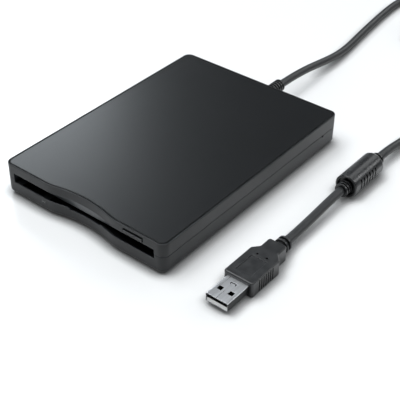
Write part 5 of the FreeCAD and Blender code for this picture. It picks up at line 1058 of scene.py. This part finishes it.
# ---- the lead --------------------------------------------------------------
@dataclass
class Lead:
    """The lead: out of the back, along the table, a neat coil, back past the case to the plug."""

    diameter: float = 4.5 * MM
    length: float = 1.0
    exit: Point = (4.0 * MM, 71.5 * MM, 10.4 * MM)
    coil_centre: tuple[float, float] = (46.0, 222.0)
    coil_radius: float = 25.0
    radius_steps: tuple[float, float, float] = (1.0, -1.0, 0.75)
    first_angle: float = 60.0
    laid_low: float = 720.0
    climb: Range = (690.0, 800.0)
    wound: float = 1147.0
    table_gap: float = 0.05
    layer_gap: float = 0.15
    steps_per_turn: int = 16
    curve_steps: int = 8
    curve_order: int = 3
    out_points: tuple[Point, ...] = (
        (4.0, 66.0, 10.4), (4.0, 92.0, 10.4), (4.5, 112.0, 9.3), (4.7, 130.0, 6.4),
        (4.3, 147.0, 3.6), (2.9, 163.0, 2.3), (0.4, 181.0, 2.3), (-1.9, 201.0, 2.3),
        (-3.8, 220.0, 2.3), (-4.5, 237.0, 2.3), (-2.6, 251.0, 2.3), (6.4, 262.0, 2.3),
        (20.0, 266.0, 2.3), (33.5, 262.0, 2.3), (46.0, 254.0, 2.3), (59.6, 245.6, 2.3))
    in_points: tuple[Point, ...] = (
        (74.6, 211.0, 6.9), (74.8, 197.0, 2.9), (79.0, 183.0, 2.3), (84.6, 164.0, 2.3),
        (87.8, 145.0, 2.3), (87.2, 127.0, 2.3), (84.6, 110.0, 2.3), (82.0, 93.0, 2.8),
        (82.2, 72.5, 6.2), (82.2, 61.0, 6.2), (82.2, 46.0, 6.2), (82.2, 31.0, 6.2),
        (82.2, 20.0, 6.2), (82.5, 1.0, 5.1), (82.4, -14.5, 4.2), (82.4, -29.0, 4.2))

    def coil_points(self) -> np.ndarray:
        """Two turns that wind inwards on the table, then one and a sixth on top of them.

        The radius falls by one diameter a turn on the table, and grows again on top, where the
        height is one diameter more. The control radius is the lead's divided by the cosine of
        half a step, so that the curve and not its control polygon keeps the radius.

        Returns:
            N by 3 array of control points in millimetres.
        """
        step = 360.0 / self.steps_per_turn
        swept = np.arange(1.0, self.wound / step) * step
        diameter = self.diameter / MM
        low, high = diameter / 2 + self.table_gap, 1.5 * diameter + self.layer_gap
        radius = np.interp(swept, (0, self.laid_low, self.wound),
                           self.coil_radius + diameter * np.array(self.radius_steps))
        height = np.interp(swept, (0, *self.climb, self.wound), (low, low, high, high))
        angle = np.radians(self.first_angle - swept)
        spread = radius / math.cos(math.radians(step / 2))
        return np.stack([self.coil_centre[0] + spread * np.cos(angle),
                         self.coil_centre[1] + spread * np.sin(angle), height], -1)

    def build(self, rack: FinishRack) -> Object:
        """Make the lead as one open smooth curve.

        Args:
            rack: the finishes.

        Returns:
            The lead's curve.
        """
        points = np.concatenate([np.array(self.out_points), self.coil_points(),
                                 np.array(self.in_points)]) * MM
        data = bpy.data.curves.new("usb_cord", "CURVE")
        data.dimensions = "3D"
        data.bevel_depth = self.diameter / 2
        data.bevel_resolution = data.resolution_u = self.curve_steps
        data.use_fill_caps = True
        spline = data.splines.new("NURBS")
        spline.points.add(len(points) - 1)
        spline.points.foreach_set("co", np.insert(points, 3, 1.0, axis=1).ravel())
        spline.order_u = self.curve_order
        spline.use_endpoint_u = True
        cord = add_object("usb_cord", data)
        rack.dress(cord, "cord_vinyl")
        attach(cord, "housing")
        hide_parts("usb_cord_out", "cord_coil", "usb_cord_in")
        return cord


@dataclass
class CoilTie:
    """A rubber strap round one side of the coil, with its end laid over its start."""

    lead: Lead
    at_angle: float = 230.0
    width: float = 8.0
    thickness: float = 0.55
    lap: float = 0.5
    lap_angle: float = 40.0
    slack: float = 0.3
    table_gap: float = 0.02
    side_power: float = 0.3
    skin_power: float = 0.5
    round_points: int = 96
    edge_points: int = 16

    def build(self, rack: FinishRack) -> Object:
        """Make the strap as a grid surface.

        Going round, each direction finds the strand that lies farthest along it, and the strap
        passes there at the strand's radius. Going across, powers of the cosine and sine make a
        rectangle with rounded corners out of the width and the thickness. Under the strands
        the strap is pressed flat on the table.

        Args:
            rack: the finishes.

        Returns:
            The strap's mesh object.
        """
        points = self.lead.coil_points()
        offset = points[:, :2] - self.lead.coil_centre
        bearing = np.degrees(np.arctan2(offset[:, 1], offset[:, 0])) % 360.0
        step = 360.0 / self.lead.steps_per_turn
        strands = np.abs(bearing - self.at_angle) <= step / 2
        middles = np.stack([np.hypot(*offset[strands].T), points[strands, 2]], -1)
        around = np.linspace(0.0, math.tau, self.round_points, endpoint=False)
        facing = np.stack([np.cos(around), np.sin(around)], -1)
        farthest = middles[np.argmax(facing @ middles.T, axis=1)]
        lapped = np.clip(2.0 * np.cos(around - math.radians(self.lap_angle)), 0.0, 1.0)
        thick = self.thickness + self.lap * lapped ** 2 * (3.0 - 2.0 * lapped)
        across = np.linspace(0.0, math.tau, self.edge_points, endpoint=False)
        cosine, sine = np.cos(across), np.sin(across)
        side = self.width / 2 * np.sign(cosine) * np.abs(cosine) ** self.side_power
        level = 0.5 + 0.5 * np.sign(sine) * np.abs(sine) ** self.skin_power
        radius = (self.lead.diameter / MM / 2 + self.slack) + thick[:, None] * level[None, :]
        out = farthest[:, None, 0] + radius * facing[:, None, 0]
        lowest = self.table_gap + self.thickness * (1.0 - level)[None, :]
        height = np.maximum(farthest[:, None, 1] + radius * facing[:, None, 1], lowest)
        turn = math.radians(self.at_angle)
        place = np.stack([
            self.lead.coil_centre[0] + out * math.cos(turn) - side[None, :] * math.sin(turn),
            self.lead.coil_centre[1] + out * math.sin(turn) + side[None, :] * math.cos(turn),
            height], -1)
        strap = mesh_object("cord_tie", place.reshape(-1, 3) * MM,
                            grid_faces(self.round_points, self.edge_points, True, True).tolist())
        strap.data.shade_smooth()
        rack.dress(strap, "foot_rubber")
        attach(strap, "housing")
        return strap


@dataclass
class SliderSprings:
    """The two tension springs that draw the slider forward."""

    wire: float = 0.25 * MM
    turns: int = 12
    steps_per_turn: int = 24
    wire_points: int = 10

    def _coil(self, middle: Point, length: float, radius: float) -> np.ndarray:
        """One coiled wire along Y.

        A point goes round a circle as it moves forward at an even rate; about it the wire's
        skin is a circle between the outward direction and the direction across the wire.

        Args:
            middle: the spring's near end, on its axis.
            length: how far the wire's middle goes along Y.
            radius: radius of the wire's middle line.

        Returns:
            Rows by columns by 3 array of points.
        """
        turn = np.linspace(0.0, math.tau * self.turns, self.turns * self.steps_per_turn + 1)
        round_wire = np.linspace(0.0, math.tau, self.wire_points, endpoint=False)
        zero = np.zeros_like(turn)
        outward = np.stack([np.cos(turn), zero, np.sin(turn)], -1)
        rate = length / turn[-1]
        along = np.stack([-radius * np.sin(turn), zero + rate, radius * np.cos(turn)], -1)
        along /= np.linalg.norm(along, axis=1, keepdims=True)
        across = np.cross(outward, along)
        path = np.array(middle) + radius * outward + rate * turn[:, None] * (0.0, 1.0, 0.0)
        skin = (outward[:, None] * np.cos(round_wire)[:, None]
                + across[:, None] * np.sin(round_wire)[:, None])
        return path[:, None] + self.wire * skin

    def build(self, rack: FinishRack) -> Object:
        """Make both springs as one mesh in place of the solid's springs.

        Args:
            rack: the finishes.

        Returns:
            The mesh object of the two springs.
        """
        low, high = (np.array(corner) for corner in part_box("slider_springs"))
        radius = (high[2] - low[2]) / 2 - self.wire
        height = (high[2] + low[2]) / 2
        near, far = low[1] + self.wire, high[1] - self.wire
        reach = high[0] - radius - self.wire
        coils = [self._coil((side, near, height), far - near, radius) for side in (-reach, reach)]
        rows, columns = coils[0].shape[:2]
        quads = grid_faces(rows, columns, False, True)
        caps = np.array([np.arange(columns)[::-1], (rows - 1) * columns + np.arange(columns)])
        faces = []
        for first in (0, rows * columns):
            faces += (quads + first).tolist() + (caps + first).tolist()
        springs = mesh_object("slider_spring_wires", np.concatenate(coils).reshape(-1, 3), faces)
        springs.data.shade_smooth()
        rack.dress(springs, "spring_steel")
        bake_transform(springs)
        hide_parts("slider_springs")
        return springs


@dataclass
class SolidPieces:
    """The pieces whose solids have the right shape and only get a finish."""

    frame: dict

    def build(self, rack: FinishRack) -> list[str]:
        """Dress every node with the finish that the record names for it.

        Args:
            rack: the finishes.

        Returns:
            The names of the dressed nodes.
        """
        parts = self.frame["record"]["subparts"]
        for part in parts:
            finish = OWN_FINISH.get(part["node"], part["material_slot"])
            rack.dress(self.frame["nodes"][part["node"]], finish)
        return [part["node"] for part in parts]


def main() -> None:
    """Build the classes in order and report each piece."""
    logging.basicConfig(level=logging.INFO, format="%(name)s: %(message)s")
    bpy.ops.wm.read_factory_settings(use_empty=True)
    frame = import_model()
    bpy.context.scene.view_settings.view_transform = "Standard"
    Viewpoint().build()
    rack = FinishRack()
    LOG.info("finishes: %d", len(rack.materials))
    Studio().build()
    LOG.info("solid pieces: %s", ", ".join(SolidPieces(frame).build(rack)))
    lead = Lead()
    LOG.info("lead: %s", lead.build(rack).name)
    LOG.info("tie: %s", CoilTie(lead).build(rack).name)
    LOG.info("springs: %s", SliderSprings().build(rack).name)


if __name__ == "__main__":
    main()
